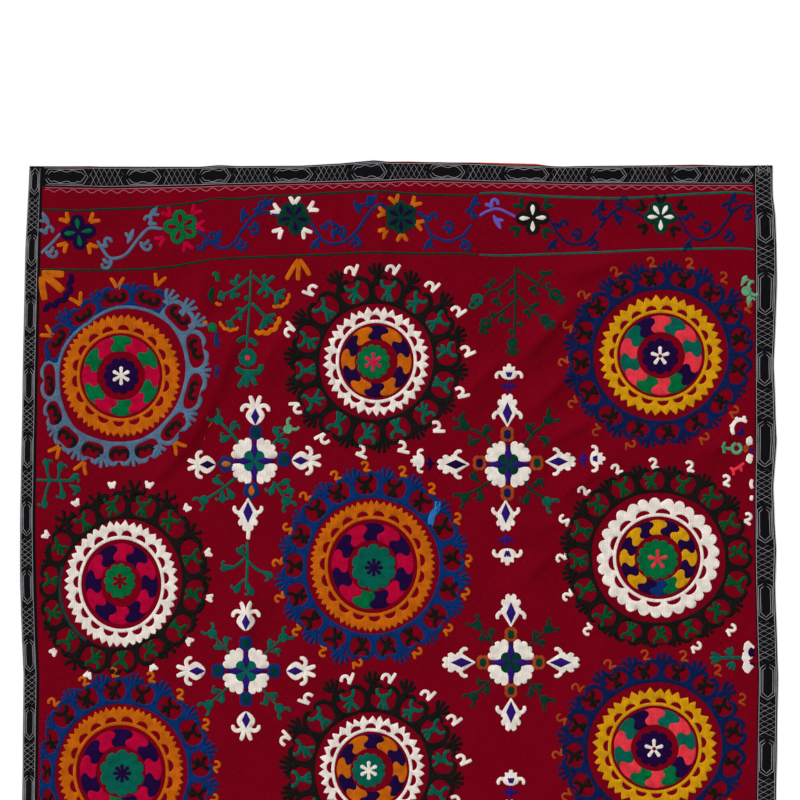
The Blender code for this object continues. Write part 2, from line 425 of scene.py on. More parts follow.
@dataclass(frozen=True)
class ThreadFinish(Finish):
    """Twisted cotton thread in chain stitch: matt, with painted shade as dark lines between rows and a dark dot at
    each link's end, where the grooves lie.

    White thread takes less painted groove shade than the dyed threads do.

    Attributes:
        painted_groove_shade: factor of the painted shade's tone between the rows.
    """

    painted_groove_shade: float = 0.55

    def build(self) -> bpy.types.Material:
        """Makes the thread's material.

        Returns:
            The material.
        """
        material, tree, shader = self.start()
        place = add_node(tree, "ShaderNodeTexCoord").outputs["Object"]
        rows = add_node(tree, "ShaderNodeUVMap", {"uv_map": "stitch"}).outputs[0]
        split = add_node(tree, "ShaderNodeSeparateXYZ", None, in_0=rows)
        row = math_node(tree, "FLOOR", split.outputs[1])
        across = math_node(tree, "PINGPONG", split.outputs[1], 0.5)
        shifted = math_node(tree, "MULTIPLY_ADD", row, 0.37, split.outputs[0])
        link = math_node(tree, "PINGPONG", shifted, 0.5)
        # Mask of painted shade: low in the grooves between rows and at each link's end, where the colour is darkened.
        painted_groove_shade = math_node(tree, "MULTIPLY", across, 5.0)
        links = math_node(tree, "MULTIPLY", link, 3.0)
        # Noise that fills in the painted groove shade in patches.
        wear_and_shade_noise = add_node(tree, "ShaderNodeTexNoise", None, in_0=place, in_2=420.0, in_3=1.0)
        filled = math_node(tree, "MULTIPLY_ADD", wear_and_shade_noise.outputs[0], 1.5, -0.45)
        relief = math_node(tree, "ADD", math_node(tree, "MULTIPLY", painted_groove_shade, links), filled)
        depth = math_node(tree, "MINIMUM", relief, 1.0)
        tone = self.tones(tree, place)
        # Painted shade: the colour goes to the darker groove tone where the mask is low.
        tone_with_painted_shade = mix_colour(tree, depth, shade(self.colour, self.painted_groove_shade), tone)
        tree.links.new(tone_with_painted_shade, shader.inputs["Base Color"])
        bump = add_node(tree, "ShaderNodeBump", None, in_0=0.5, in_1=0.0006)
        tree.links.new(depth, bump.inputs["Height"])
        tree.links.new(bump.outputs[0], shader.inputs["Normal"])
        return material


@dataclass(frozen=True)
class WovenFinish(Finish):
    """Plain-woven cotton: matt, dyed unevenly, with fine threads both ways and thicker slubs here and there."""

    def build(self) -> bpy.types.Material:
        """Makes the woven cloth's material.

        Returns:
            The material.
        """
        material, tree, shader = self.start()
        place = add_node(tree, "ShaderNodeTexCoord").outputs["Object"]
        tone = self.tones(tree, place)
        stretched = add_node(tree, "ShaderNodeMapping", None, in_0=place, in_3=(900.0, 90.0, 1.0))
        warp = add_node(tree, "ShaderNodeTexNoise", None, in_0=stretched.outputs[0], in_2=1.0, in_3=1.0)
        crossed = add_node(tree, "ShaderNodeMapping", None, in_0=place, in_3=(90.0, 900.0, 1.0))
        weft = add_node(tree, "ShaderNodeTexNoise", None, in_0=crossed.outputs[0], in_2=1.0, in_3=1.0)
        weave = math_node(tree, "ADD", warp.outputs[0], weft.outputs[0])
        wear_and_shade_noise = math_node(tree, "MULTIPLY_ADD", weave, 2.0, -1.55)
        colour = mix_colour(tree, wear_and_shade_noise, tone, shade(self.colour, self.light * 1.25))
        tree.links.new(colour, shader.inputs["Base Color"])
        bump = add_node(tree, "ShaderNodeBump", None, in_0=0.45, in_1=0.0004)
        tree.links.new(weave, bump.inputs["Height"])
        tree.links.new(bump.outputs[0], shader.inputs["Normal"])
        return material


# Plain-woven cotton dyed crimson in the piece: matt, with uneven dye in soft patches and a fine weave both ways.
CRIMSON_COTTON = WovenFinish("crimson_cotton", "#660011", 0.88, 0.78, 1.16, 0.11)
# Plain-woven black cotton for the edging: matt and nearly even, with a few lighter worn threads.
BLACK_COTTON = WovenFinish("black_cotton", "#0c0b0d", 0.9, 0.75, 1.3, 0.05)
# Thin roller-printed cotton for the lining: matt orange red, with light and dark patches where the print changes.
PRINTED_LINING = WovenFinish("printed_lining", "#b3371c", 0.9, 0.7, 1.15, 0.02)


class Wardrobe:
    """Makes each material once and hands it out."""

    made: dict[str, bpy.types.Material] = {}

    @classmethod
    def cloth(cls, finish: WovenFinish) -> bpy.types.Material:
        """The material of a woven cloth.

        Args:
            finish: its finish.

        Returns:
            The material.
        """
        if finish.name not in cls.made:
            cls.made[finish.name] = finish.build()
        return cls.made[finish.name]

    @classmethod
    def thread(cls, thread: Thread) -> bpy.types.Material:
        """The material of a thread colour.

        Args:
            thread: the colour.

        Returns:
            The material.
        """
        name = f"chain_stitch_{thread.name.lower()}"
        if name not in cls.made:
            dark, light = (0.80, 1.22) if thread.value[1] is Slot.WHITE else (0.62, 1.04)
            # Painted shade in the grooves: lighter on white thread than on dyed thread.
            painted_groove_shade = 0.70 if thread.value[1] is Slot.WHITE else 0.52
            cls.made[name] = ThreadFinish(name, thread.value[0], 0.8, dark, light, 0.016, painted_groove_shade).build()
        return cls.made[name]


class ClothForm:
    """The outline of the cloth and its height as it lies."""

    @staticmethod
    def line_at(stations: tuple, key: str, along: str, places: np.ndarray) -> np.ndarray:
        """Reads one column of a station table between its rows.

        Args:
            stations: the table.
            key: column to read.
            along: column of the places.
            places: where to read.

        Returns:
            The values at those places.
        """
        rows = sorted(stations, key=lambda row: getattr(row, along))
        known = [getattr(row, along) for row in rows]
        return np.interp(places, known, [getattr(row, key) for row in rows])

    @classmethod
    def across(cls, lines: np.ndarray, y: float) -> np.ndarray:
        """The real x of nominal lines that run along the cloth.

        Args:
            lines: nominal lines.
            y: nominal height of the row.

        Returns:
            Their real x.
        """
        nominal = (-HALF_WIDTH, LEFT_STRIP_LINE, LEFT_JOIN_LINE, RIGHT_JOIN_LINE, RIGHT_STRIP_LINE, HALF_WIDTH)
        keys = ("left_edge", "left_strip", "left_join", "right_join", "right_strip", "right_edge")
        return np.interp(lines, nominal, [float(cls.line_at(ACROSS, key, "y", y)) for key in keys])

    @classmethod
    def along(cls, line: float, x: np.ndarray) -> np.ndarray:
        """The real y of a nominal line that runs across the cloth.

        Args:
            line: nominal line.
            x: real x of its points.

        Returns:
            Their real y.
        """
        nominal = (BOTTOM_LINE, BOTTOM_STRIP_LINE, TOP_STRIP_LINE, TOP_LINE)
        real = (
            cls.line_at(BOTTOM, "edge", "x", x),
            cls.line_at(BOTTOM, "strip", "x", x),
            cls.line_at(TOP, "strip", "x", x),
            cls.line_at(TOP, "edge", "x", x),
        )
        band = max(0, min(2, int(np.searchsorted(nominal, line)) - 1))
        share = (line - nominal[band]) / (nominal[band + 1] - nominal[band])
        return real[band] * (1 - share) + real[band + 1] * share

    @staticmethod
    def ridge(x: np.ndarray, y: np.ndarray, start: Point, end: Point, half_width: float) -> tuple:
        """Places relative to a ridge line.

        Args:
            x: places across.
            y: places along.
            start: one end of the ridge.
            end: its other end.
            half_width: the ridge's width to each side.

        Returns:
            How far along and how far aside each place is, 1 at the ridge's outline.
        """
        run = end - start
        length = float(np.hypot(*run))
        offset_x = x - (start[0] + end[0]) / 2
        offset_y = y - (start[1] + end[1]) / 2
        along = (offset_x * run[0] + offset_y * run[1]) / length / (length / 2 + half_width / 2)
        aside = (offset_x * run[1] - offset_y * run[0]) / length / half_width
        return along, aside

    @classmethod
    def folds(cls, x: np.ndarray, y: np.ndarray) -> np.ndarray:
        """How far the soft folds lift the cloth.

        Args:
            x: places across.
            y: places along.

        Returns:
            The heights.
        """
        height = np.zeros_like(x)
        for fold in FOLDS:
            start, end = np.array([fold.x0, fold.y0]), np.array([fold.x1, fold.y1])
            along, aside = cls.ridge(x, y, start, end, fold.half_width)
            reach = np.minimum(1.0, np.sqrt(along**4 + aside**2))
            height += fold.height * np.cos(math.pi / 2 * reach) ** 2
        return height

    @classmethod
    def creases(cls, x: np.ndarray, y: np.ndarray) -> np.ndarray:
        """The narrow creases: a ridge with a shallow trough beside it.

        Args:
            x: places across.
            y: places along.

        Returns:
            The heights.
        """
        height = np.zeros_like(x)
        for crease in CREASES:
            start, end = at(crease.column0, crease.row0), at(crease.column1, crease.row1)
            along, aside = cls.ridge(x, y, start, end, crease.half_width)
            fade = np.cos(math.pi / 2 * np.minimum(1.0, along**2)) ** 2
            crest = np.cos(math.pi / 2 * np.minimum(1.0, np.abs(aside))) ** 2
            trough = np.cos(math.pi / 2 * np.minimum(1.0, np.abs(aside - 1.3))) ** 2
            height += crease.height * fade * (crest - 0.3 * trough)
        return height

    @classmethod
    def seams(cls, x: np.ndarray, y: np.ndarray) -> np.ndarray:
        """How far the joins and the outer hem draw the cloth down.

        Args:
            x: places across.
            y: places along.

        Returns:
            The depths.
        """
        depth = np.zeros_like(x)
        away = [x - cls.line_at(ACROSS, key, "y", y) for key in ("left_strip", "right_strip")]
        away += [y - cls.line_at(table, "strip", "x", x) for table in (TOP, BOTTOM)]
        for distance in away:
            depth = np.maximum(depth, SEAM_DEPTH * np.maximum(0.0, 1 - np.abs(distance) / SEAM_WIDTH) ** 2)
        edges = (
            x - cls.line_at(ACROSS, "left_edge", "y", y),
            cls.line_at(ACROSS, "right_edge", "y", y) - x,
            cls.line_at(TOP, "edge", "x", x) - y,
            y - cls.line_at(BOTTOM, "edge", "x", x),
        )
        for edge in edges:
            depth = np.maximum(depth, HEM_ROLL * np.clip(1 - edge / HEM_WIDTH, 0.0, 1.0) ** 2)
        return depth

    @classmethod
    def top(cls, x: np.ndarray, y: np.ndarray) -> np.ndarray:
        """Height of the cloth's upper face.

        Args:
            x: places across.
            y: places along.

        Returns:
            The heights in metres.
        """
        slack = SLACK_HEIGHT * (np.sin(x * 61 + 3 * np.sin(y * 17)) + np.sin(y * 53 + 2.5 * np.sin(x * 23)))
        return CLOTH_TOP + cls.folds(x, y) + cls.creases(x, y) + slack - cls.seams(x, y)


def at(column: float, row: float) -> Point:
    """A place on the chart.

    Args:
        column: squares from the left.
        row: squares from the top.

    Returns:
        The place in metres.
    """
    return np.array([(column - CHART_MIDDLE_COLUMN) * SQUARE, (CHART_ZERO_ROW - row) * SQUARE])


def places(pairs: Sequence[tuple[float, float]]) -> list[Point]:
    """Several places on the chart.

    Args:
        pairs: columns and rows.

    Returns:
        The places in metres.
    """
    return [at(column, row) for column, row in pairs]


def direction(angle: float) -> Point:
    """A unit vector.

    Args:
        angle: degrees counter-clockwise from the right.

    Returns:
        The vector.
    """
    return np.array([math.cos(math.radians(angle)), math.sin(math.radians(angle))])


def curve(points: Sequence[Point], closed: bool = False, parts: int = 5) -> np.ndarray:
    """A smooth curve through points.

    Args:
        points: the points that it runs through.
        closed: True for a closed outline.
        parts: steps between two points.

    Returns:
        The curve's points.
    """
    known = np.array(points, dtype=float)
    count = len(known)
    result = []
    spans = count if closed else count - 1
    for i in range(spans):
        if closed:
            a, b, c, d = (known[(i + k) % count] for k in (-1, 0, 1, 2))
        else:
            b, c = known[i], known[i + 1]
            a = known[i - 1] if i else 2 * b - c
            d = known[i + 2] if i + 2 < count else 2 * c - b
        for k in range(parts):
            t = k / parts
            result.append(
                0.5 * (2 * b + (c - a) * t + (2 * a - 5 * b + 4 * c - d) * t**2 + (3 * b - a - 3 * c + d) * t**3)
            )
    if not closed:
        result.append(known[-1])
    return np.array(result)


@dataclass
class Frame:
    """A local frame on the cloth, in squares: s to its right and t forward.

    Attributes:
        origin: its place in metres.
        angle: direction of t in degrees.
        scale: size factor.
        mirror: -1 to swap the sides.
    """

    origin: Point
    angle: float = 90.0
    scale: float = 1.0
    mirror: float = 1.0

    def __call__(self, s: float, t: float) -> Point:
        """A place in the frame.

        Args:
            s: squares to the right.
            t: squares forward.

        Returns:
            The place in metres.
        """
        forward, right = direction(self.angle), direction(self.angle - 90)
        return self.origin + (right * s * self.mirror + forward * t) * SQUARE * self.scale

    def path(self, *pairs: tuple[float, float]) -> list[Point]:
        """Several places in the frame.

        Args:
            *pairs: values of s and t.

        Returns:
            The places in metres.
        """
        return [self(s, t) for s, t in pairs]


@dataclass
class Stitching:
    """Embroidery gathered into one piece: filled patches and rows of stitches along paths.

    Attributes:
        name: the piece's name.
    """

    name: str
    threads: list[Thread] = field(default_factory=list)
    vertices: list[np.ndarray] = field(default_factory=list)
    corners: list[np.ndarray] = field(default_factory=list)
    sizes: list[np.ndarray] = field(default_factory=list)
    coordinates: list[np.ndarray] = field(default_factory=list)
    slots: list[np.ndarray] = field(default_factory=list)
    total: int = 0

    def take(self, mesh: bpy.types.Mesh, places_3d: np.ndarray, rows: np.ndarray, thread: Thread) -> None:
        """Adds the faces of a scratch mesh.

        Args:
            mesh: gives the faces.
            places_3d: its vertices, with the height above the cloth as z.
            rows: for each vertex, stitches along and rows across.
            thread: the thread colour.
        """
        if thread not in self.threads:
            self.threads.append(thread)
        corner = np.empty(len(mesh.loops), dtype=np.int32)
        mesh.loops.foreach_get("vertex_index", corner)
        size = np.empty(len(mesh.polygons), dtype=np.int32)
        mesh.polygons.foreach_get("loop_total", size)
        self.vertices.append(places_3d)
        self.corners.append(corner + self.total)
        self.sizes.append(size)
        self.coordinates.append(rows[corner])
        self.slots.append(np.full(len(size), self.threads.index(thread), dtype=np.int32))
        self.total += len(places_3d)

    def patch(
        self,
        outline: Sequence[Point],
        thread: Thread,
        holes: Sequence[Sequence[Point]] = (),
        level: int = 0,
    ) -> None:
        """A filled patch of side-by-side rows.

        Args:
            outline: closed outline in metres.
            thread: the thread colour.
            holes: closed outlines left open.
            level: how many layers of stitches lie under it.
        """
        shape = bmesh.new()
        for loop in (outline, *holes):
            ring = [shape.verts.new((p[0], p[1], 0.0)) for p in loop]
            for first, second in zip(ring, ring[1:] + ring[:1]):
                shape.edges.new((first, second))
        bmesh.ops.triangle_fill(shape, use_beauty=True, edges=shape.edges[:])
        aside, forward = direction(0), direction(90)
        points = np.array(outline)
        self.cut(shape, aside, points @ aside, ROW_PITCH / (2 if points[:, 1].max() > PLAIN_BELOW else 1))
        self.cut(shape, forward, points @ forward, CROSS_CUT)
        for face in shape.faces:
            if face.normal.z < 0:
                face.normal_flip()
        self.skirt(shape)
        shape.to_mesh(SCRATCH)
        shape.free()
        places_3d = np.empty(len(SCRATCH.vertices) * 3)
        SCRATCH.vertices.foreach_get("co", places_3d)
        places_3d = places_3d.reshape(-1, 3)
        if not len(places_3d):
            return
        flat = places_3d[:, :2]
        across = flat @ aside / ROW_PITCH
        mark = places_3d[:, 2]
        relief = ROW_RELIEF * (1 - np.abs(2 * (across % 1.0) - 1))
        drop = EDGE_DROP / (1 + 3 * level)
        height = PAD_HEIGHT + relief + level * LEVEL_STEP - drop * (mark > 0.5)
        places_3d[:, 2] = np.where(mark < -0.5, -SKIRT_DEPTH, height)
        rows = np.stack([flat @ forward / STITCH_LENGTH, across], axis=1)
        self.take(SCRATCH, places_3d, rows, thread)

    @staticmethod
    def cut(shape: bmesh.types.BMesh, normal: Point, reach: np.ndarray, pitch: float) -> None:
        """Cuts a patch along evenly spaced lines.

        Args:
            shape: the patch.
            normal: direction across the lines.
            reach: the outline's places along that direction.
            pitch: distance between lines.
        """
        first, last = math.floor(reach.min() / pitch) + 1, math.ceil(reach.max() / pitch)
        for k in range(first, last):
            geometry = shape.verts[:] + shape.edges[:] + shape.faces[:]
            spot = Vector((normal[0] * k * pitch, normal[1] * k * pitch, 0.0))
            bmesh.ops.bisect_plane(
                shape, geom=geometry, dist=1e-6, plane_co=spot, plane_no=Vector((normal[0], normal[1], 0.0))
            )

    @staticmethod
    def skirt(shape: bmesh.types.BMesh) -> None:
        """Turns a patch's rim down into the cloth. Rim vertices are marked with z = 1 and the skirt's with z = -1.

        Args:
            shape: the flat patch.
        """
        rim = [edge for edge in shape.edges if edge.is_boundary]
        outward: dict[bmesh.types.BMVert, Vector] = {}
        for edge in rim:
            first, second = edge.verts
            run = second.co - first.co
            normal = Vector((run.y, -run.x, 0.0))
            if normal.length > 0:
                normal.normalize()
            if normal.dot(edge.link_faces[0].calc_center_median() - first.co) > 0:
                normal.negate()
            for vertex in edge.verts:
                outward[vertex] = outward.get(vertex, Vector()) + normal
        for vertex in outward:
            vertex.co.z = 1.0
        lower = bmesh.ops.extrude_edge_only(shape, edges=rim)["geom"]
        for vertex in [item for item in lower if isinstance(item, bmesh.types.BMVert)]:
            push = Vector()
            for edge in vertex.link_edges:
                other = edge.other_vert(vertex)
                if other in outward:
                    push = outward[other]
            if push.length > 0:
                push = push.normalized() * SKIRT_FLARE
            vertex.co = (vertex.co.x + push.x, vertex.co.y + push.y, -1.0)

    @staticmethod
    def spine(line: np.ndarray, step: float) -> tuple[np.ndarray, np.ndarray]:
        """Evenly spaced places on a path.

        Args:
            line: the path's points.
            step: distance between places, or 0 to keep the path's own points.

        Returns:
            The places and their distances from the path's start.
        """
        steps = np.hypot(*np.diff(line, axis=0).T)
        line = line[np.concatenate([[True], steps > 1e-7])]
        run = np.concatenate([[0.0], np.cumsum(np.hypot(*np.diff(line, axis=0).T))])
        if not step:
            return line, run
        stations = np.linspace(0.0, run[-1], max(3, round(run[-1] / step) + 1))
        return np.stack([np.interp(stations, run, line[:, k]) for k in (0, 1)], axis=1), stations

    @staticmethod
    def section(rows: int, level: int) -> tuple[np.ndarray, np.ndarray]:
        """Cross-section of side-by-side rows of stitches with a skirt on each side.

        Args:
            rows: number of rows.
            level: how many layers of stitches lie under it.

        Returns:
            Shares across the width, from -0.5 to 0.5 between the skirts, and heights above the cloth.
        """
        shares = np.array([-0.5 - 0.1 / rows, *np.linspace(-0.5, 0.5, 2 * rows + 1), 0.5 + 0.1 / rows])
        lift = np.array([0.0, *(PAD_HEIGHT + ROW_RELIEF * (np.arange(2 * rows + 1) % 2)), 0.0])
        lift += level * LEVEL_STEP
        if not level:
            lift[1] = lift[-2] = PAD_HEIGHT * 0.5
        lift[0] = lift[-1] = -SKIRT_DEPTH
        return shares, lift

    def line(
        self,
        path: Sequence[Point],
        width: float,
        thread: Thread,
        level: int = 0,
        smooth: bool = True,
        taper: tuple[float, float] = (0.55, 0.55),
        resampled: bool = True,
    ) -> None:
        """Rows of stitches along a path.

        Args:
            path: points in metres.
            width: full width in squares.
            thread: the thread colour.
            level: how many layers of stitches lie under it.
            smooth: True to run a smooth curve through the points.
            taper: the width's share at the start and the end.
            resampled: False to keep the path's own points.
        """
        span = width * SQUARE
        step = min(PATH_STEP, max(span, SHORT_STEP)) if resampled else 0.0
        line, stations = self.spine(curve(path) if smooth else np.array(path, dtype=float), step)
        count = len(stations)
        tangent = np.gradient(line, axis=0)
        tangent /= np.maximum(np.hypot(*tangent.T), 1e-9)[:, None]
        side = np.stack([tangent[:, 1], -tangent[:, 0]], axis=1)
        rows = max(1, int(span / ROW_PITCH + 0.25))
        shares, lift = self.section(rows, level)
        share = stations / stations[-1]
        reach = min(0.45, max(0.1, span / stations[-1]))
        swell = np.ones(count)
        for end, away in zip(taper, (share, 1 - share)):
            swell = np.minimum(swell, end + (1 - end) * np.sqrt(np.clip(away / reach, 0, 1)))
        shape = bmesh.new()
        bmesh.ops.create_grid(shape, x_segments=count - 1, y_segments=len(shares) - 1, size=0.5)
        shape.to_mesh(SCRATCH)
        shape.free()
        grid = np.empty(len(SCRATCH.vertices) * 3)
        SCRATCH.vertices.foreach_get("co", grid)
        grid = grid.reshape(-1, 3)
        column = np.rint((grid[:, 0] + 0.5) * (count - 1)).astype(int)
        row = np.rint((grid[:, 1] + 0.5) * (len(shares) - 1)).astype(int)
        flat = line[column] - side[column] * (shares[row] * span * swell[column])[:, None]
        height = np.where((column == 0) | (column == count - 1), -SKIRT_DEPTH, lift[row])
        placed = np.column_stack([flat, height])
        stitches = np.column_stack([stations[column] / STITCH_LENGTH, (shares[row] + 0.5) * rows])
        self.take(SCRATCH, placed, stitches, thread)

    def build(self) -> bpy.types.Object | None:
        """Makes the piece and drapes it on the cloth.

        Returns:
            The object, or None where nothing was stitched.
        """
        if not self.vertices:
            return None
        placed = np.concatenate(self.vertices)
        placed[:, 2] += ClothForm.top(placed[:, 0], placed[:, 1])
        corners = np.concatenate(self.corners)
        sizes = np.concatenate(self.sizes)
        mesh = bpy.data.meshes.new(self.name)
        mesh.vertices.add(len(placed))
        mesh.vertices.foreach_set("co", placed.ravel())
        mesh.loops.add(len(corners))
        mesh.loops.foreach_set("vertex_index", corners)
        mesh.polygons.add(len(sizes))
        mesh.polygons.foreach_set("loop_start", np.concatenate([[0], np.cumsum(sizes)[:-1]]).astype(np.int32))
        mesh.polygons.foreach_set("material_index", np.concatenate(self.slots))
        mesh.polygons.foreach_set("use_smooth", np.ones(len(sizes), dtype=bool))
        layer = mesh.uv_layers.new(name="stitch")
        layer.data.foreach_set("uv", np.concatenate(self.coordinates).ravel())
        for thread in self.threads:
            mesh.materials.append(Wardrobe.thread(thread))
        mesh.update(calc_edges=True)
        mesh.validate()
        piece = bpy.data.objects.new(self.name, mesh)
        bpy.context.scene.collection.objects.link(piece)
        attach(piece, "root")
        LOG.info("%s: %d faces", self.name, len(sizes))
        return piece


SCRATCH = bpy.data.meshes.new("scratch")


@dataclass
class Sheets:
    """The panels, the edging strips and the lining as thin closed sheets on their solids' folds."""

    made: list[bpy.types.Object] = field(default_factory=list)

    @staticmethod
    def steps(start: float, end: float, pitch: float) -> np.ndarray:
        """Evenly spaced grid lines, with one more close to each end that keeps the rim's rounding narrow.

        Args:
            start: first line.
            end: last line.
            pitch: distance aimed at.

        Returns:
            The lines.
        """
        lines = np.linspace(start, end, max(1, round(abs(end - start) / pitch)) + 1)
        return np.concatenate([lines[:1], [lines[0] + RIM_WIDTH], lines[1:-1], [lines[-1] - RIM_WIDTH], lines[-1:]])

    def sheet(
        self,
        name: str,
        lines: tuple[float, float, float, float],
        trims: dict[str, float],
        finish: WovenFinish,
        slot: Slot,
        pitch: float,
        is_lining: bool = False,
    ) -> bpy.types.Object:
        """Builds one sheet and lets it stand for its CAD node.

        Args:
            name: the CAD node.
            lines: nominal left, right, bottom and top.
            trims: how far each side is cut back.
            finish: the cloth's finish.
            slot: the record's slot; not used.
            pitch: size of the grid's cells.
            is_lining: True for the sheet that lies on the surface below.

        Returns:
            The sheet.
        """
        columns = self.steps(lines[0], lines[1], pitch)
        rows = self.steps(lines[2], lines[3], pitch)
        shape = bmesh.new()
        bmesh.ops.create_grid(shape, x_segments=len(columns) - 1, y_segments=len(rows) - 1, size=0.5)
        vertices = shape.verts[:]
        flat = np.array([vertex.co[:2] for vertex in vertices])
        column = np.rint((flat[:, 0] + 0.5) * (len(columns) - 1)).astype(int)
        row = np.rint((flat[:, 1] + 0.5) * (len(rows) - 1)).astype(int)
        x, y = np.zeros(len(flat)), np.zeros(len(flat))
        for k, line in enumerate(rows):
            members = row == k
            x[members] = ClothForm.across(columns, line)[column[members]]
            y[members] = ClothForm.along(line, x[members])
        x[column == 0] += trims.get("left", 0.0)
        x[column == len(columns) - 1] -= trims.get("right", 0.0)
        y[row == 0] += trims.get("bottom", 0.0)
        last = row == len(rows) - 1
        y[last] -= trims.get("top", 0.0)
        if is_lining:
            y[last] += ClothForm.line_at(TOP, "lining_above", "x", x[last])
            top = LINING_THICKNESS + ClothForm.folds(x, y)
            thickness = LINING_THICKNESS
        else:
            top = ClothForm.top(x, y)
            thickness = CLOTH_THICKNESS
        for vertex, px, py, pz in zip(vertices, x, y, top):
            vertex.co = (px, py, pz - thickness)
        raised = bmesh.ops.extrude_face_region(shape, geom=shape.faces[:], use_keep_orig=True)
        tops = [item for item in raised["geom"] if isinstance(item, bmesh.types.BMVert)]
        bmesh.ops.translate(shape, vec=(0.0, 0.0, thickness), verts=tops)
        bmesh.ops.recalc_face_normals(shape, faces=shape.faces[:])
        shape.normal_update()
        for face in shape.faces:
            face.smooth = abs(face.normal.z) > 0.3
        mesh = bpy.data.meshes.new(name + "_cloth")
        shape.to_mesh(mesh)
        shape.free()
        mesh.materials.append(Wardrobe.cloth(finish))
        piece = bpy.data.objects.new(name + "_cloth", mesh)
        bpy.context.scene.collection.objects.link(piece)
        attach(piece, "root")
        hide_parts(name)
        self.made.append(piece)
        LOG.info("%s: %d faces", piece.name, len(mesh.polygons))
        return piece

    def build(self) -> None:
        """Builds the lining, the three panels and the four strips."""
        half = SEAM_GAP / 2
        inset = {"left": LINING_INSET, "right": LINING_INSET, "bottom": LINING_INSET}
        whole = (-HALF_WIDTH, HALF_WIDTH, BOTTOM_LINE, TOP_LINE)
        self.sheet("lining", whole, inset, PRINTED_LINING, Slot.LINING, LINING_PITCH, is_lining=True)
        ends = {"bottom": half, "top": half}
        panels = {
            "panel_left": (LEFT_STRIP_LINE, LEFT_JOIN_LINE, {"left": half, **ends}),
            "panel_centre": (LEFT_JOIN_LINE, RIGHT_JOIN_LINE, ends),
            "panel_right": (RIGHT_JOIN_LINE, RIGHT_STRIP_LINE, {"right": half, **ends}),
        }
        for name, (left, right, trims) in panels.items():
            lines = (left, right, BOTTOM_STRIP_LINE, TOP_STRIP_LINE)
            self.sheet(name, lines, trims, CRIMSON_COTTON, Slot.GROUND, CLOTH_PITCH)
        upright = (BOTTOM_LINE, TOP_LINE)
        level = (LEFT_STRIP_LINE, RIGHT_STRIP_LINE)
        ends = {"left": half, "right": half}
        strips = {
            "strip_left": ((-HALF_WIDTH, LEFT_STRIP_LINE, *upright), {"right": half}),
            "strip_right": ((RIGHT_STRIP_LINE, HALF_WIDTH, *upright), {"left": half}),
            "strip_top": ((*level, TOP_STRIP_LINE, TOP_LINE), {**ends, "bottom": half}),
            "strip_bottom": ((*level, BOTTOM_LINE, BOTTOM_STRIP_LINE), {**ends, "top": half}),
        }
        for name, (lines, trims) in strips.items():
            self.sheet(name, lines, trims, BLACK_COTTON, Slot.EDGING, CLOTH_PITCH)


def polar(centre: Point, radius: float, angle: float, squash: float = 1.0) -> Point:
    """A place at a radius and an angle.

    Args:
        centre: in metres.
        radius: in squares.
        angle: in degrees.
        squash: height over width.

    Returns:
        The place in metres.
    """
    way = direction(angle)
    return centre + np.array([way[0], way[1] * squash]) * radius * SQUARE


def polar_of(centre: Point, place: Point) -> tuple[float, float]:
    """Radius and angle of a place round a centre.

    Args:
        centre: in metres.
        place: in metres.

    Returns:
        The radius in squares and the angle in degrees.
    """
    away = place - centre
    return float(np.hypot(*away)) / SQUARE, math.degrees(math.atan2(away[1], away[0]))


def lobed(centre: Point, radius: float, lobes: int, depth: float, squash: float = 1.0, turn: float = 0.0) -> list:
    """A rosette's outline.

    Args:
        centre: in metres.
        radius: outer radius in squares.
        lobes: number of lobes.
        depth: share of the radius that the notches cut in.
        squash: height over width.
        turn: angle of the first notch in degrees.

    Returns:
        The outline in metres.
    """
    points = []
    for k in range(lobes * 8):
        share = k / 8
        bulge = abs(math.sin(math.pi * share)) ** 0.55
        points.append(polar(centre, radius * (1 - depth + depth * bulge), turn + 360 * share / lobes, squash))
    return points


def star(centre: Point, radius: float, arms: int, waist: float, tip: float, turn: float = 90.0) -> list[Point]:
    """A thin star's outline.

    Args:
        centre: in metres.
        radius: of the tips in squares.
        arms: number of arms.
        waist: half width of an arm near the middle, in squares.
        tip: half width of an arm near its tip.
        turn: angle of the first arm in degrees.

    Returns:
        The outline in metres.
    """
    points = []
    notch = waist / math.sin(math.pi / arms)
    for k in range(arms):
        angle = turn + 360 * k / arms
        local = Frame(centre, angle)
        points += local.path((tip, radius * 0.86), (0.0, radius), (-tip, radius * 0.86))
        points.append(polar(centre, notch, angle + 180 / arms))
    return points


# Medallions: steps of the coloured ring's sides and arcs, and how far its sides sway, in squares
SIDE_STEPS = 10
ARC_STEPS = 7
SIDE_SWAY = 2.9

# Saw ring: outline of one tooth, one scallop and one opening, as shares of its width and its height
TOOTH = ((0.0, 0.0), (0.3, 0.62), (0.5, 1.0), (0.7, 0.62))
SCALLOP = ((0.0, 0.0), (0.14, 0.55), (0.32, 0.92), (0.5, 1.0), (0.68, 0.92), (0.86, 0.55))
OPENING = (
    (-1.0, 0.0), (-0.5, 0.0), (0.0, 0.0), (0.5, 0.0), (1.0, 0.0), (0.82, 0.6), (0.42, 0.95), (0.0, 1.05),
    (-0.42, 0.95), (-0.82, 0.6),
)
OPENING_FOOT = 2.9
OPENING_HEIGHT = 4.9
OPENING_SHARE = 0.76
OPENING_TURN = 7

# Lobes: how far a lobe's outline falls off at its ends and dips in its middle, the dip's width as a share of the
# lobe, how far neighbours overlap, and the length of a trident, in squares
LOBE_FALL = 8.5
LOBE_DIP = 4.8
DIP_WIDTH = 0.15
LOBE_OVERLAP = 1.06
TRIDENT_LENGTH = 14.0
MOTIF_HEIGHT = 21.5
MOTIF_PLACE = 0.46


class Shape(Enum):
    """Forms of the small outer motifs."""

    VEE = "vee"
    HOOK = "hook"
    SPRIG = "sprig"
    TICK = "tick"


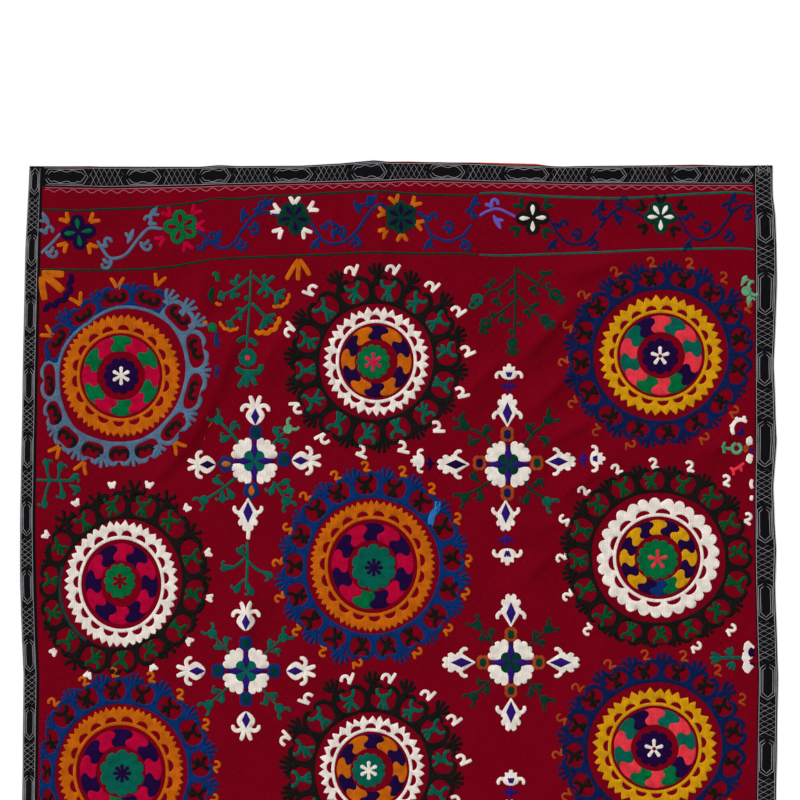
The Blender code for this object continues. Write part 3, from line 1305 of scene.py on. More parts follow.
@dataclass(frozen=True)
class Medallion:
    """One large round motif. Centres are chart columns and rows; radii are in squares.

    Attributes:
        name: short name.
        centre: of its rings.
        heart: of its rosette.
        star_thread: colour of the star.
        star_arms: number of arms.
        star_radius: of the tips.
        rosette_thread: colour of the rosette.
        rosette_radius: outer radius.
        rosette_lobes: number of lobes.
        rainbow: inner and outer radius of the ring of coloured pieces.
        squash: height over width of the inner rings.
        pieces: colours clockwise from the top piece.
        first_piece: angle of the first piece.
        saw: inner radius, radius of the teeth's foot and of their tips.
        saw_thread: colour of the saw ring.
        openings: number of its openings.
        teeth: number of its teeth.
        rounded: True for scallops in place of teeth.
        ring_radius: inner radius of the outer ring.
        ring_thread: its colour.
        lobe_thread: their colour.
        cells: radius and angle of the cells' middles.
        motif_thread: colour of the motifs in the cells.
        tips: chart places of the tridents' tips.
        hooks: chart places of the small outer motifs.
        hook_thread: their colour.
        hook_shape: their form.
        antlers: True for tridents with curled side fingers.
        other_lobes: start angle, end angle and colour of lobes in another thread.
        ring_other: start angle, end angle and colour of part of the ring in another thread.
        reach: how far a lobe stands out from its cell's middle.
        follow: share of the cells' unevenness that the outer ring takes on.
        ring_width: width of the outer ring.
        band: width of the lobes' outline.
        bridge: width of the bridges between the cells.
        corner: how square the cells are, from 1 for round to 0.5 for nearly square.
        fingers: number of a trident's fingers.
        commas: True for motifs of two commas.
        hook_width: width of the outer motifs' strokes.
        hook_scale: their size factor.
        star_heart: colour of the dot on the star, if any.
        left_reach: how far the lobes reach to the left where the strip crowds them, or 0.
    """

    name: str
    centre: tuple[float, float]
    heart: tuple[float, float]
    star_thread: Thread
    star_arms: int
    star_radius: float
    rosette_thread: Thread
    rosette_radius: float
    rosette_lobes: int
    rainbow: tuple[float, float]
    squash: float
    pieces: tuple[Thread, ...]
    first_piece: float
    saw: tuple[float, float, float]
    saw_thread: Thread
    openings: int
    teeth: int
    rounded: bool
    ring_radius: float
    ring_thread: Thread
    lobe_thread: Thread
    cells: tuple[tuple[float, float], ...]
    motif_thread: Thread
    tips: tuple[tuple[float, float], ...]
    hooks: tuple[tuple[float, float], ...]
    hook_thread: Thread
    hook_shape: Shape
    antlers: bool = False
    other_lobes: tuple[float, float, Thread] | None = None
    ring_other: tuple[float, float, Thread] | None = None
    reach: float = 13.5
    follow: float = 0.5
    ring_width: float = 2.9
    band: float = 3.7
    corner: float = 0.68
    bridge: float = 8.2
    fingers: int = 4
    commas: bool = False
    hook_width: float = 3.2
    hook_scale: float = 0.95
    left_reach: float = 0.0
    star_heart: Thread | None = None

    def moved(self, name: str, centre: tuple[float, float], **changes) -> "Medallion":
        """The same design at another place.

        Args:
            name: of the copy.
            centre: its place on the chart.
            **changes: fields that differ.

        Returns:
            The copy.
        """
        columns, rows = centre[0] - self.centre[0], centre[1] - self.centre[1]
        for key in ("tips", "hooks"):
            changes[key] = tuple((column + columns, row + rows) for column, row in getattr(self, key))
        changes["heart"] = (self.heart[0] + columns, self.heart[1] + rows)
        return replace(self, name=name, centre=centre, **changes)

    @staticmethod
    def inside(angle: float, span: tuple[float, float, Thread] | None) -> bool:
        """Whether an angle lies in a span that runs counter-clockwise.

        Args:
            angle: in degrees.
            span: start, end and colour, or None.

        Returns:
            True if it does.
        """
        return span is not None and (angle - span[0]) % 360 <= (span[1] - span[0]) % 360

    def heart_piece(self) -> Stitching:
        """The rosette in the middle with its star.

        Returns:
            The stitching.
        """
        work = Stitching(f"medallion_{self.name}_heart")
        middle = at(*self.heart)
        work.patch(lobed(middle, self.rosette_radius, self.rosette_lobes, 0.17, self.squash), self.rosette_thread)
        work.patch(star(middle, self.star_radius, self.star_arms, 1.3, 1.9), self.star_thread, level=1)
        if self.star_heart:
            work.patch(lobed(middle, 1.9, 5, 0.1), self.star_heart, level=2)
        return work

    def rainbow_piece(self) -> Stitching:
        """The ring of interlocking coloured pieces with wavy sides.

        Returns:
            The stitching.
        """
        work = Stitching(f"medallion_{self.name}_rainbow")
        middle = at(*self.centre)
        inner, outer = self.rainbow
        count = len(self.pieces)
        span = 360 / count
        shares = [j / ARC_STEPS for j in range(1, ARC_STEPS)]
        for k, thread in enumerate(self.pieces):
            centre_angle = self.first_piece - k * span
            start, end = centre_angle - span / 2, centre_angle + span / 2
            outline = self.wavy(middle, start)
            for share in shares:
                swell = 0.9 * math.sin(math.pi * share)
                outline.append(polar(middle, outer + swell, start + span * share, self.squash))
            outline += self.wavy(middle, end)[::-1]
            outline += [polar(middle, inner, end - span * share, self.squash) for share in shares]
            work.patch(outline, thread)
        return work

    def wavy(self, middle: Point, angle: float) -> list[Point]:
        """One wavy radial side between two pieces of the coloured ring.

        Args:
            middle: centre of the ring.
            angle: of the side.

        Returns:
            Its points.
        """
        inner, outer = self.rainbow
        side = []
        for j in range(SIDE_STEPS + 1):
            wave = math.sin(2 * math.pi * j / SIDE_STEPS)
            aside = SIDE_SWAY * math.copysign(abs(wave) ** 0.6, wave) / ((inner + outer) / 2)
            radius = inner + (outer - inner) * j / SIDE_STEPS
            side.append(polar(middle, radius, angle + math.degrees(aside), self.squash))
        return side

    def saw_piece(self) -> Stitching:
        """The saw-toothed ring with its row of openings.

        Returns:
            The stitching.
        """
        work = Stitching(f"medallion_{self.name}_saw")
        middle = at(*self.centre)
        inner, foot, tip = self.saw
        outline = []
        for k in range(self.teeth):
            for share, height in SCALLOP if self.rounded else TOOTH:
                angle = 360 * (k + share + 0.09 * math.sin(k * 1.9)) / self.teeth
                tooth = (tip - foot) * (0.92 + 0.12 * math.sin(k * 2.7))
                outline.append(polar(middle, foot + tooth * height, angle, self.squash))
        holes = [[polar(middle, inner, angle, self.squash) for angle in range(0, 360, 6)]]
        half = 180 / self.openings * OPENING_SHARE
        for k in range(self.openings):
            angle = 360 * k / self.openings + OPENING_TURN
            rim = ((inner + OPENING_FOOT + OPENING_HEIGHT * up, angle + half * side) for side, up in OPENING)
            holes.append([polar(middle, radius, turn, self.squash) for radius, turn in rim])
        work.patch(outline, self.saw_thread, holes)
        return work

    def rim(self, angle: float) -> float:
        """Radius of the cells' middles, read between the cells.

        Args:
            angle: in degrees.

        Returns:
            The radius in squares.
        """
        known = sorted((cell_angle % 360, radius) for radius, cell_angle in self.cells)
        return float(np.interp(angle % 360, [a for a, _ in known], [r for _, r in known], period=360))

    def ring(self, angle: float) -> float:
        """Inner radius of the outer ring.

        Args:
            angle: in degrees.

        Returns:
            The radius in squares.
        """
        mean = sum(radius for radius, _ in self.cells) / len(self.cells)
        return self.ring_radius + self.follow * (self.rim(angle) - mean)

    def contour(self, angle: float, share: float) -> float:
        """Radius of a lobe's outline, which dips in the middle and falls off to the bridges.

        Args:
            angle: in degrees.
            share: -1 to 1 across the lobe.

        Returns:
            The radius in squares.
        """
        dip = LOBE_DIP * math.exp(-((share / DIP_WIDTH) ** 2))
        return self.rim(angle) + self.reach - LOBE_FALL * abs(share) ** 4 - dip

    def frame_piece(self) -> Stitching:
        """The outer ring, the lobes round the cells, and the tridents.

        Returns:
            The stitching.
        """
        work = Stitching(f"medallion_{self.name}_frame")
        middle = at(*self.centre)
        angles = sorted(angle % 360 for _, angle in self.cells)
        count = len(angles)
        gaps = [(angles[(k + 1) % count] - angles[k]) % 360 for k in range(count)]
        bridges = [angles[k] + gaps[k] / 2 for k in range(count)]
        for k in range(count):
            end = bridges[k]
            half = (end - bridges[k - 1]) % 360 / 2
            centre_angle = end - half
            thread = self.other_lobes[2] if self.inside(centre_angle, self.other_lobes) else self.lobe_thread
            ring_thread = self.ring_other[2] if self.inside(centre_angle, self.ring_other) else self.ring_thread
            turns = [(s, centre_angle + half * s) for s in np.linspace(-LOBE_OVERLAP, LOBE_OVERLAP, 25)]
            outline = [polar(middle, self.contour(a, s), a) for s, a in turns]
            foot = 0.0 if thread is ring_thread else self.ring_width - 0.6
            outline += [polar(middle, self.ring(a) + foot, a) for s, a in turns[::-3]]
            work.patch(outline, thread, [self.cell(middle, centre_angle, half)])
            if thread is not ring_thread:
                ring = [polar(middle, self.ring(a) + self.ring_width, a) for s, a in turns[::3]]
                ring += [polar(middle, self.ring(a), a) for s, a in turns[::-3]]
                work.patch(ring, ring_thread)
        for tip in self.tips:
            self.trident(work, middle, at(*tip))
        self.crowd(work, middle)
        return work

    def cell(self, middle: Point, centre_angle: float, half: float) -> list[Point]:
        """Outline of one heart-shaped cell.

        Args:
            middle: the medallion's centre.
            centre_angle: the cell's direction.
            half: half the angle that the lobe takes.

        Returns:
            The outline.
        """
        arc = math.radians(half) * self.rim(centre_angle)
        side = 1 - self.bridge / 2 / arc
        hole = []
        for j in range(28):
            turn = 2 * math.pi * (j + 0.5) / 28
            t = math.copysign(abs(math.sin(turn)) ** self.corner, math.sin(turn))
            s = math.copysign(abs(math.cos(turn)) ** self.corner, math.cos(turn)) * side * (1 + 0.06 * min(0.0, t))
            angle = centre_angle + half * s
            low = self.ring(angle) + self.ring_width + 0.3
            high = self.contour(angle, s * 0.92) - self.band
            hole.append(polar(middle, (low + high) / 2 + (high - low) / 2 * t, angle))
        return hole

    def crowd(self, work: Stitching, middle: Point) -> None:
        """Presses the left side together where the edging strip leaves less room.

        Args:
            work: stitches to move.
            middle: the medallion's centre.
        """
        if not self.left_reach:
            return
        ring = (self.ring_radius + self.ring_width) * SQUARE
        furthest = self.rim(180.0) + self.reach
        factor = (self.left_reach * SQUARE - ring) / (furthest * SQUARE - ring)
        for placed in work.vertices:
            past = np.maximum(0.0, middle[0] - ring - placed[:, 0])
            moved = np.minimum(past * factor, self.left_reach * SQUARE - ring + 0.001)
            placed[:, 0] += past - moved

    def trident(self, work: Stitching, middle: Point, tip: Point) -> None:
        """One trident on the bridge between two lobes.

        Args:
            work: gets the stitches.
            middle: the medallion's centre.
            tip: place of the middle finger's tip.
        """
        reach, angle = polar_of(middle, tip)
        thread = self.other_lobes[2] if self.inside(angle, self.other_lobes) else self.lobe_thread
        foot = self.contour(angle, 1.0) - 1.0
        base = max(foot, reach - TRIDENT_LENGTH)
        top = reach - base
        local = Frame(polar(middle, base, angle), angle)
        palm = ((-3.2, foot - base - 1.0), (-2.2, 0.6), (-2.6, 3.4))
        work.patch(curve(local.path(*palm, *[(-s, t) for s, t in palm[::-1]]), True, 3), thread, level=1)
        lean = 0.8 * math.sin(angle)
        if self.antlers:
            for side in (-1, 1):
                wide = [(side * s, t) for s, t in ((1.0, 2.0), (5.6, 3.6), (9.0, 2.6), (11.0, 6.0), (8.6, 8.4))]
                work.line(local.path(*wide), 3.1, thread, level=1, taper=(1.0, 0.6))
                high = ((side * 1.2, 3.5), (side * 2.4, top - 5.0), (side * 5.2, top - 1.4), (side * 3.0, top + 1.2))
                work.line(local.path(*high), 3.0, thread, level=1, taper=(1.0, 0.6))
            return
        if self.fingers == 3:
            fingers = ((-1.2, -6.6, 0.82), (0.0, 0.0, 1.0), (1.2, 6.8, 0.84))
        else:
            fingers = ((-1.6, -8.2, 0.72), (-0.7, -3.2, 0.99), (0.7, 3.0, 1.0), (1.6, 8.0, 0.74))
        for spot, spread, share in fingers:
            end = (spread + lean, top * share)
            between = ((spot + end[0]) / 2 + 0.14 * spread, (2.0 + end[1]) / 2 - 0.5)
            width = 3.4 if self.fingers == 3 else 3.0
            work.line(local.path((spot, 1.4), between, end), width, thread, level=1, taper=(1.0, 0.85))

    def small_piece(self) -> Stitching:
        """The motifs in the cells and the small ones outside the lobes.

        Returns:
            The stitching.
        """
        work = Stitching(f"medallion_{self.name}_motifs")
        middle = at(*self.centre)
        for k, (_, angle) in enumerate(self.cells):
            height = self.rim(angle) + self.reach - self.band - self.ring(angle) - self.ring_width
            spot = polar(middle, self.ring(angle) + self.ring_width + height * MOTIF_PLACE, angle)
            self.motif(work, Frame(spot, angle, height / MOTIF_HEIGHT, 1 if k % 2 else -1), k)
        self.crowd(work, middle)
        for k, spot in enumerate(places(self.hooks)):
            keys = ("left_strip", "right_strip")
            low, high = (float(ClothForm.line_at(ACROSS, key, "y", spot[1])) for key in keys)
            if not low + HOOK_REACH < spot[0] < high - HOOK_REACH:
                continue
            _, angle = polar_of(middle, spot)
            if self.hook_shape in (Shape.HOOK, Shape.TICK) and abs(angle) < 110:
                angle = 90 - (90 - angle) * 0.45
            self.hook(work, Frame(spot, angle, self.hook_scale, 1 if k % 2 or angle < 120 else -1), k)
        return work

    def motif(self, work: Stitching, local: Frame, k: int) -> None:
        """One curled motif in a cell.

        Args:
            work: gets the stitches.
            local: the cell's frame.
            k: the cell's number, which picks the variant.
        """
        lean = 0.9 * math.sin(k * 2.3)
        thread = self.motif_thread
        if self.commas:
            spine = ((-6.6, 4.8), (-10.2, 3.8), (-10.4, -0.8), (-5.4, -3.6), (0, -1.8), (5.0, -3.4), (10.0, -0.6),
                     (10.0, 4.2), (6.4, 5.2))
            work.line(local.path(*spine), 4.2, thread, taper=(0.8, 0.8))
            work.line(local.path((0, -2.6), (0.8 + lean, 3.6)), 3.2, thread, level=1, taper=(1.0, 0.6))
            return
        body = ((-2.3, 3.6), (0, 5.4), (2.3, 3.6), (2.0, -2.6), (0, -4.2), (-2.0, -2.6))
        work.patch(curve(local.path(*body), True, 3), thread)
        for side in (-1, 1):
            if (k + side) % 4 < 2:
                arm = ((0, 3.0), (side * 3.8, 3.4 + lean * side), (side * 7.2, 5.4), (side * 7.8, 9.6))
            else:
                arm = ((0, 3.4), (side * 4.0, 5.6), (side * 5.4, 9.6), (side * 3.0, 10.4))
            work.line(local.path(*arm), 3.3, thread, level=1, taper=(1.0, 0.7))
            leg = ((0, -1.6), (side * 2.8, -5.2), (side * 4.8 + lean, -9.4))
            work.line(local.path(*leg), 3.1, thread, level=1, taper=(1.0, 0.7))
        if k % 2:
            work.line(local.path((0, -1.0), (0.4, -5.0), (0.8 + lean, -9.6)), 2.9, thread, level=1, taper=(1.0, 0.7))
        else:
            work.line(local.path((0, 0.4), (4.2, -1.6), (8.0, -3.4)), 3.0, thread, level=1, taper=(1.0, 0.7))

    def hook(self, work: Stitching, local: Frame, k: int) -> None:
        """One small motif outside the lobes.

        Args:
            work: gets the stitches.
            local: its frame, pointing outward.
            k: its number, which picks the variant.
        """
        thread = self.hook_thread
        if self.hook_shape is Shape.HOOK:
            curl = ((-4.8, 1.8), (-3.2, 4.8), (0.8, 4.6), (2.0, 1.8), (-0.4, -1.6), (-3.0, -4.2))
            work.line(local.path(*curl), self.hook_width, thread, taper=(0.85, 0.9))
            work.line(local.path((-3.0, -4.2), (1.0, -3.4), (5.8, -4.4)), self.hook_width, thread, taper=(0.9, 0.7))
            return
        if self.hook_shape is Shape.TICK:
            curl = ((-7.0, -2.4), (-5.0, 2.8), (-0.6, 3.4), (1.4, -0.6), (0.6, -5.4))
            work.line(local.path(*curl), self.hook_width, thread, taper=(0.9, 0.9))
            work.line(local.path((0.6, -5.4), (4.0, 0.6), (7.0, 6.4)), self.hook_width, thread, taper=(0.9, 0.8))
            return
        spread = 5.4 if k % 3 else 4.6
        for side in (-1, 1):
            work.line(local.path((side * spread, 4.8), (side * 2.4, 0.6), (0, -4.6)), 3.8, thread, taper=(0.55, 1.0))
        if self.hook_shape is Shape.SPRIG:
            work.line(local.path((0, -3.8), (0.3, 0.6), (0.6, 4.2)), 3.0, thread, taper=(1.0, 0.6))

    def build(self) -> list[bpy.types.Object]:
        """Builds all pieces of the medallion.

        Returns:
            The pieces.
        """
        parts = (self.heart_piece, self.rainbow_piece, self.saw_piece, self.frame_piece, self.small_piece)
        return [part().build() for part in parts]


M11 = Medallion(
    name="1_1",
    centre=(121.2, 375.8),
    heart=(121.2, 375.8),
    star_thread=T.WHITE,
    star_arms=6,
    star_radius=9.6,
    rosette_thread=T.DARK_VIOLET,
    rosette_radius=17.8,
    rosette_lobes=11,
    rainbow=(24.0, 38.0),
    squash=1.03,
    pieces=(T.GREEN, T.MAGENTA) * 6,
    first_piece=92.0,
    saw=(41.5, 55.4, 60.0),
    saw_thread=T.ORANGE,
    openings=18,
    teeth=54,
    rounded=False,
    ring_radius=65.5,
    ring_thread=T.BLUE_GREY,
    lobe_thread=T.BLUE_GREY,
    cells=(
        (72, 149.6), (70, 121.8), (79, 94.3), (82, 70.1), (84, 46.1), (79, 19.6), (73, -11.6), (73, -45.8),
        (78, -72.5), (78, -91.1), (80, -110.9), (83, -131.0), (77, -150.4), (72, -173.0),
    ),
    motif_thread=T.BLACK,
    tips=(
        (58, 311), (97, 289), (134, 282), (174, 289), (194.5, 300), (206, 317), (212, 370), (197, 421), (161, 455),
        (134, 467), (100, 468), (71, 459), (48, 436), (43.5, 355),
    ),
    hooks=(
        (48, 333), (78, 300), (117.5, 283.5), (158.6, 280.5), (42, 378), (42, 421), (56, 451), (82, 467),
        (178, 446),
    ),
    hook_thread=T.ORANGE,
    hook_shape=Shape.VEE,
    other_lobes=(60.0, 168.0, T.BLUE),
    ring_width=3.4,
    band=3.7,
    bridge=4.8,
    reach=12.5,
    follow=0.7,
    fingers=3,
    commas=True,
    left_reach=81.0,
    hook_scale=1.35,
)

M12 = Medallion(
    name="1_2",
    centre=(376.4, 361.5),
    heart=(373.2, 361.9),
    star_thread=T.PINK,
    star_arms=6,
    star_radius=9.6,
    rosette_thread=T.GREEN,
    rosette_radius=16.9,
    rosette_lobes=13,
    rainbow=(21.5, 34.2),
    squash=1.03,
    pieces=(T.DARK_VIOLET, T.ORANGE) * 6,
    first_piece=88.0,
    saw=(37.6, 47.5, 53.4),
    saw_thread=T.WHITE,
    openings=17,
    teeth=38,
    rounded=False,
    ring_radius=57.6,
    ring_thread=T.BLACK,
    lobe_thread=T.BLACK,
    cells=(
        (73, 107.0), (73, 80.4), (71, 56.2), (74, 33.5), (71, 8.0), (70, -19.2), (70, -46.2), (70, -72.5),
        (74, -97.6), (74, -122.4), (75, -148.6), (72, -172.6), (72, 162.7), (74, 134.8),
    ),
    motif_thread=T.TEAL,
    tips=(
        (376, 262), (332, 271), (415, 271), (452, 295), (467, 332), (469, 373), (454, 410), (422, 439), (382, 454),
        (343, 448), (304, 425), (285, 387), (283, 356), (293, 313),
    ),
    hooks=(
        (352, 271), (393, 270), (432, 287), (458, 312), (467, 352), (461, 393.5), (437, 428), (402, 448),
        (360.5, 452), (323, 438), (297, 407), (290, 330), (311, 291),
    ),
    hook_thread=T.WHITE,
    hook_shape=Shape.TICK,
    ring_width=3.0,
    band=3.7,
    bridge=6.2,
    reach=14.6,
    hook_scale=1.0,
    hook_width=3.4,
)

M13 = Medallion(
    name="1_3",
    centre=(661.1, 355.4),
    heart=(660.1, 356.1),
    star_thread=T.WHITE,
    star_arms=5,
    star_radius=10.0,
    rosette_thread=T.DARK_VIOLET,
    rosette_radius=18.6,
    rosette_lobes=10,
    rainbow=(24.0, 40.2),
    squash=0.97,
    pieces=(
        T.CORAL, T.TEAL, T.CORAL, T.TEAL, T.CORAL, T.DARK_VIOLET, T.GREEN, T.CORAL, T.GREEN, T.CORAL, T.TEAL,
        T.CORAL, T.TEAL, T.DARK_VIOLET,
    ),
    first_piece=92.0,
    saw=(44.0, 56.5, 62.5),
    saw_thread=T.MUSTARD,
    openings=19,
    teeth=40,
    rounded=False,
    ring_radius=66.5,
    ring_thread=T.NAVY,
    lobe_thread=T.NAVY,
    cells=(
        (77, 97.4), (79, 73.4), (80, 51.6), (80, 32.2), (81, 11.5), (79, -10.3), (74.5, -37.7), (75, -62.0),
        (77, -85.5), (77, -107.6), (79, -129.8), (82, -152.3), (82, -175.3), (81, 163.7), (80, 142.6), (78, 120.5),
    ),
    motif_thread=T.BLACK,
    tips=(
        (670, 259), (634, 263), (601, 279), (575, 309), (562, 342), (563, 381), (583, 414), (611, 437), (647, 449),
        (685, 445), (718, 428), (746.5, 392), (740, 291), (708, 268),
    ),
    hooks=(
        (652, 263), (690, 264), (616, 272), (724, 278), (748.5, 307), (584, 295), (568, 327), (564, 361),
        (573, 402), (596.5, 430), (630, 445), (734, 412), (704, 438.5),
    ),
    hook_thread=T.RUST,
    hook_shape=Shape.HOOK,
    hook_width=2.4,
    hook_scale=1.0,
    fingers=3,
    band=3.6,
    bridge=5.6,
    corner=0.85,
    ring_width=3.4,
    reach=12.4,
    star_heart=T.CRIMSON,
)

M21 = Medallion(
    name="2_1",
    centre=(121.4, 584.1),
    heart=(119.8, 581.1),
    star_thread=T.CRIMSON,
    star_arms=6,
    star_radius=8.0,
    rosette_thread=T.GREEN,
    rosette_radius=15.6,
    rosette_lobes=11,
    rainbow=(20.6, 35.4),
    squash=1.12,
    pieces=(T.MAGENTA, T.DARK_VIOLET) * 6,
    first_piece=88.0,
    saw=(40.2, 52.2, 57.2),
    saw_thread=T.WHITE,
    openings=19,
    teeth=44,
    rounded=False,
    ring_radius=62.2,
    ring_thread=T.BLACK,
    lobe_thread=T.BLACK,
    cells=(
        (80, 96.0), (82, 74.2), (81, 52.4), (76, 20.8), (73, -8.8), (72, -37.8), (72, -66.6), (77, -89.7),
        (81, -110.5), (79, -133.6), (76, -157.3), (73, 177.6), (73, 148.9), (73, 121.2),
    ),
    motif_thread=T.FOREST,
    tips=(
        (135, 481), (94, 494), (59, 514), (171, 493), (198, 528), (210, 574), (199, 615), (171, 655), (69.5, 667),
        (44, 633), (41, 556),
    ),
    hooks=(
        (112, 485), (149, 485), (76, 503), (187, 508), (46, 535), (208, 553), (209.5, 598), (189, 641),
        (153, 667.5), (53.5, 652), (40, 578), (88, 675),
    ),
    hook_thread=T.WHITE,
    hook_shape=Shape.SPRIG,
    antlers=True,
    ring_other=(150.0, 230.0, T.SLATE),
    ring_width=3.2,
    band=3.8,
    bridge=6.0,
    reach=13.5,
    follow=0.7,
    left_reach=82.5,
    hook_scale=0.8,
)

M22 = Medallion(
    name="2_2",
    centre=(372.7, 566.2),
    heart=(373.8, 567.5),
    star_thread=T.DARK_VIOLET,
    star_arms=8,
    star_radius=9.4,
    rosette_thread=T.TEAL,
    rosette_radius=22.4,
    rosette_lobes=10,
    rainbow=(24.8, 40.2),
    squash=1.05,
    pieces=(
        T.DARK_VIOLET, T.MAGENTA, T.DARK_VIOLET, T.MAGENTA, T.DARK_VIOLET, T.MAGENTA, T.DARK_VIOLET, T.GREEN,
        T.MAGENTA, T.DARK_VIOLET, T.MAGENTA, T.DARK_VIOLET, T.MAGENTA,
    ),
    first_piece=90.0,
    saw=(45.0, 58.6, 63.0),
    saw_thread=T.ORANGE,
    openings=19,
    teeth=61,
    rounded=False,
    ring_radius=67.4,
    ring_thread=T.BLUE,
    lobe_thread=T.BLUE,
    cells=(
        (83, 94.4), (81, 74.9), (81, 53.3), (81, 29.6), (80, 5.3), (80, -16.5), (81, -38.9), (80, -61.5),
        (82, -80.5), (82, -98.1), (82, -118.2), (82, -139.2), (81, -158.8), (78, 179.5), (76.5, 157.3), (80, 134.6),
        (81, 115.0),
    ),
    motif_thread=T.BLACK,
    tips=(
        (350, 468), (386.5, 467), (417, 475), (448, 502), (468, 541), (471, 582), (463, 612), (436, 642.5),
        (404, 663), (337, 664), (306, 642.5), (285, 616), (274, 582), (279, 543), (293, 513), (318, 483),
    ),
    hooks=(
        (366, 467), (336, 476), (403, 472), (432, 489), (457.5, 519), (468, 561), (465.5, 594), (448, 630),
        (417, 653), (357, 664), (323, 651), (297, 630), (280, 597), (278, 562), (288, 529), (305.5, 496.5),
    ),
    hook_thread=T.ORANGE,
    hook_shape=Shape.HOOK,
    hook_scale=0.95,
    hook_width=2.8,
    ring_width=3.2,
    band=3.4,
    bridge=5.8,
    reach=13.0,
)

M23 = Medallion(
    name="2_3",
    centre=(658.4, 557.8),
    heart=(657.7, 559.5),
    star_thread=T.CORAL,
    star_arms=5,
    star_radius=10.5,
    rosette_thread=T.GREEN,
    rosette_radius=20.5,
    rosette_lobes=13,
    rainbow=(23.8, 37.8),
    squash=0.98,
    pieces=(
        T.MUSTARD, T.DARK_VIOLET, T.MUSTARD, T.DARK_VIOLET, T.MUSTARD, T.DARK_VIOLET, T.MUSTARD, T.GREEN, T.BLUE,
        T.DARK_VIOLET, T.MUSTARD, T.DARK_VIOLET, T.MUSTARD, T.DARK_VIOLET, T.MUSTARD, T.DARK_VIOLET,
    ),
    first_piece=92.0,
    saw=(42.4, 56.0, 61.8),
    saw_thread=T.WHITE,
    openings=14,
    teeth=29,
    rounded=True,
    ring_radius=66.4,
    ring_thread=T.BLACK,
    lobe_thread=T.BLACK,
    cells=(
        (78, 94.9), (78, 71.5), (81.5, 49.3), (80, 26.7), (81, 3.8), (84, -18.4), (81, -42.5), (78, -65.6),
        (77, -89.3), (80, -111.4), (81, -133.2), (81, -156.4), (81, -178.5), (84, 160.1), (82, 139.3), (81, 117.3),
    ),
    motif_thread=T.FOREST,
    tips=(
        (636, 465), (672, 465), (708, 474), (739, 499), (601, 481), (574, 504), (559, 539.5), (561.5, 576),
        (576, 610), (606, 636), (640, 645), (677, 647), (711, 636), (742, 610),
    ),
    hooks=(
        (617, 469.5), (654, 464), (690, 467), (726.5, 481), (748, 519), (584, 491), (564.5, 520.5), (562, 557),
        (568, 595), (588, 629), (696, 647.5), (731, 630),
    ),
    hook_thread=T.WHITE,
    hook_shape=Shape.HOOK,
    hook_scale=0.98,
    hook_width=3.0,
    ring_width=2.7,
    band=3.3,
    bridge=6.2,
    reach=12.6,
)

MEDALLIONS = (
    M11,
    M12,
    M13,
    M21,
    M22,
    M23,
    M22.moved("3_1", (121, 772), hook_thread=T.ORANGE, left_reach=81.0),
    M12.moved("3_2", (372, 770), rosette_thread=T.TEAL, star_thread=T.WHITE),
    M13.moved("3_3", (655, 748)),
    M21.moved("4_1", (121, 970)),
    M11.moved("4_2", (374, 970), other_lobes=None, lobe_thread=T.BLUE, ring_thread=T.BLUE, left_reach=0.0),
    M23.moved("4_3", (657, 962)),
)


class Kind(Enum):
    """Small stitched forms, each drawn in a local frame that points forward."""

    LEAF = "leaf"
    POD = "pod"
    CURL = "curl"
    VEE = "vee"
    ANCHOR = "anchor"
    PALMETTE = "palmette"
    BLOSSOM = "blossom"
    SQUARE = "square"
    FOOT = "foot"
    SCALLOPS = "scallops"
    PETAL = "petal"
    ROUND = "round"
    TWO = "two"
    SPUR = "spur"
    LOOP = "loop"
    CROWN = "crown"
    CAP = "cap"


class Mark(NamedTuple):
    """One small form on the chart: what it is, its middle, the way that it points, its size factor and threads."""

    kind: Kind
    column: float
    row: float
    angle: float
    scale: float
    thread: Thread
    inner: Thread | None = None


class Stem(NamedTuple):
    """One row of stitches on the chart: its thread, its width in squares, its points and the layers under it."""

    thread: Thread
    width: float
    points: tuple[tuple[float, float], ...]
    level: int = 0


K = Kind
Pairs = tuple[tuple[float, float], ...]


@dataclass(frozen=True)
class Fill:
    """A filled part of a form.

    Attributes:
        points: its outline in squares, in the form's frame.
        level: layers of stitches under it.
        inner: True to take the form's inner thread.
        smooth: False for straight sides.
    """

    points: Pairs
    level: int = 0
    inner: bool = False
    smooth: bool = True

    def sew(self, work: Stitching, local: Frame, thread: Thread) -> None:
        """Stitches the part.

        Args:
            work: gets the stitches.
            local: the form's frame.
            thread: colour.
        """
        outline = local.path(*self.points)
        work.patch(curve(outline, True, 4) if self.smooth else outline, thread, level=self.level)


@dataclass(frozen=True)
class Row:
    """A row of stitches in a form.

    Attributes:
        width: in squares.
        points: its path in squares, in the form's frame.
        level: layers of stitches under it.
        inner: True to take the form's inner thread.
        smooth: False for straight runs between the points.
        taper: the width's share at the start and the end.
        grows: False to keep the width at every size of the form.
    """

    width: float
    points: Pairs
    level: int = 0
    inner: bool = False
    smooth: bool = True
    taper: tuple[float, float] = (0.9, 0.55)
    grows: bool = True

    def sew(self, work: Stitching, local: Frame, thread: Thread) -> None:
        """Stitches the part.

        Args:
            work: gets the stitches.
            local: the form's frame.
            thread: colour.
        """
        path, width = local.path(*self.points), self.width * (local.scale if self.grows else 1.0)
        work.line(path, width, thread, level=self.level, smooth=self.smooth, taper=self.taper)


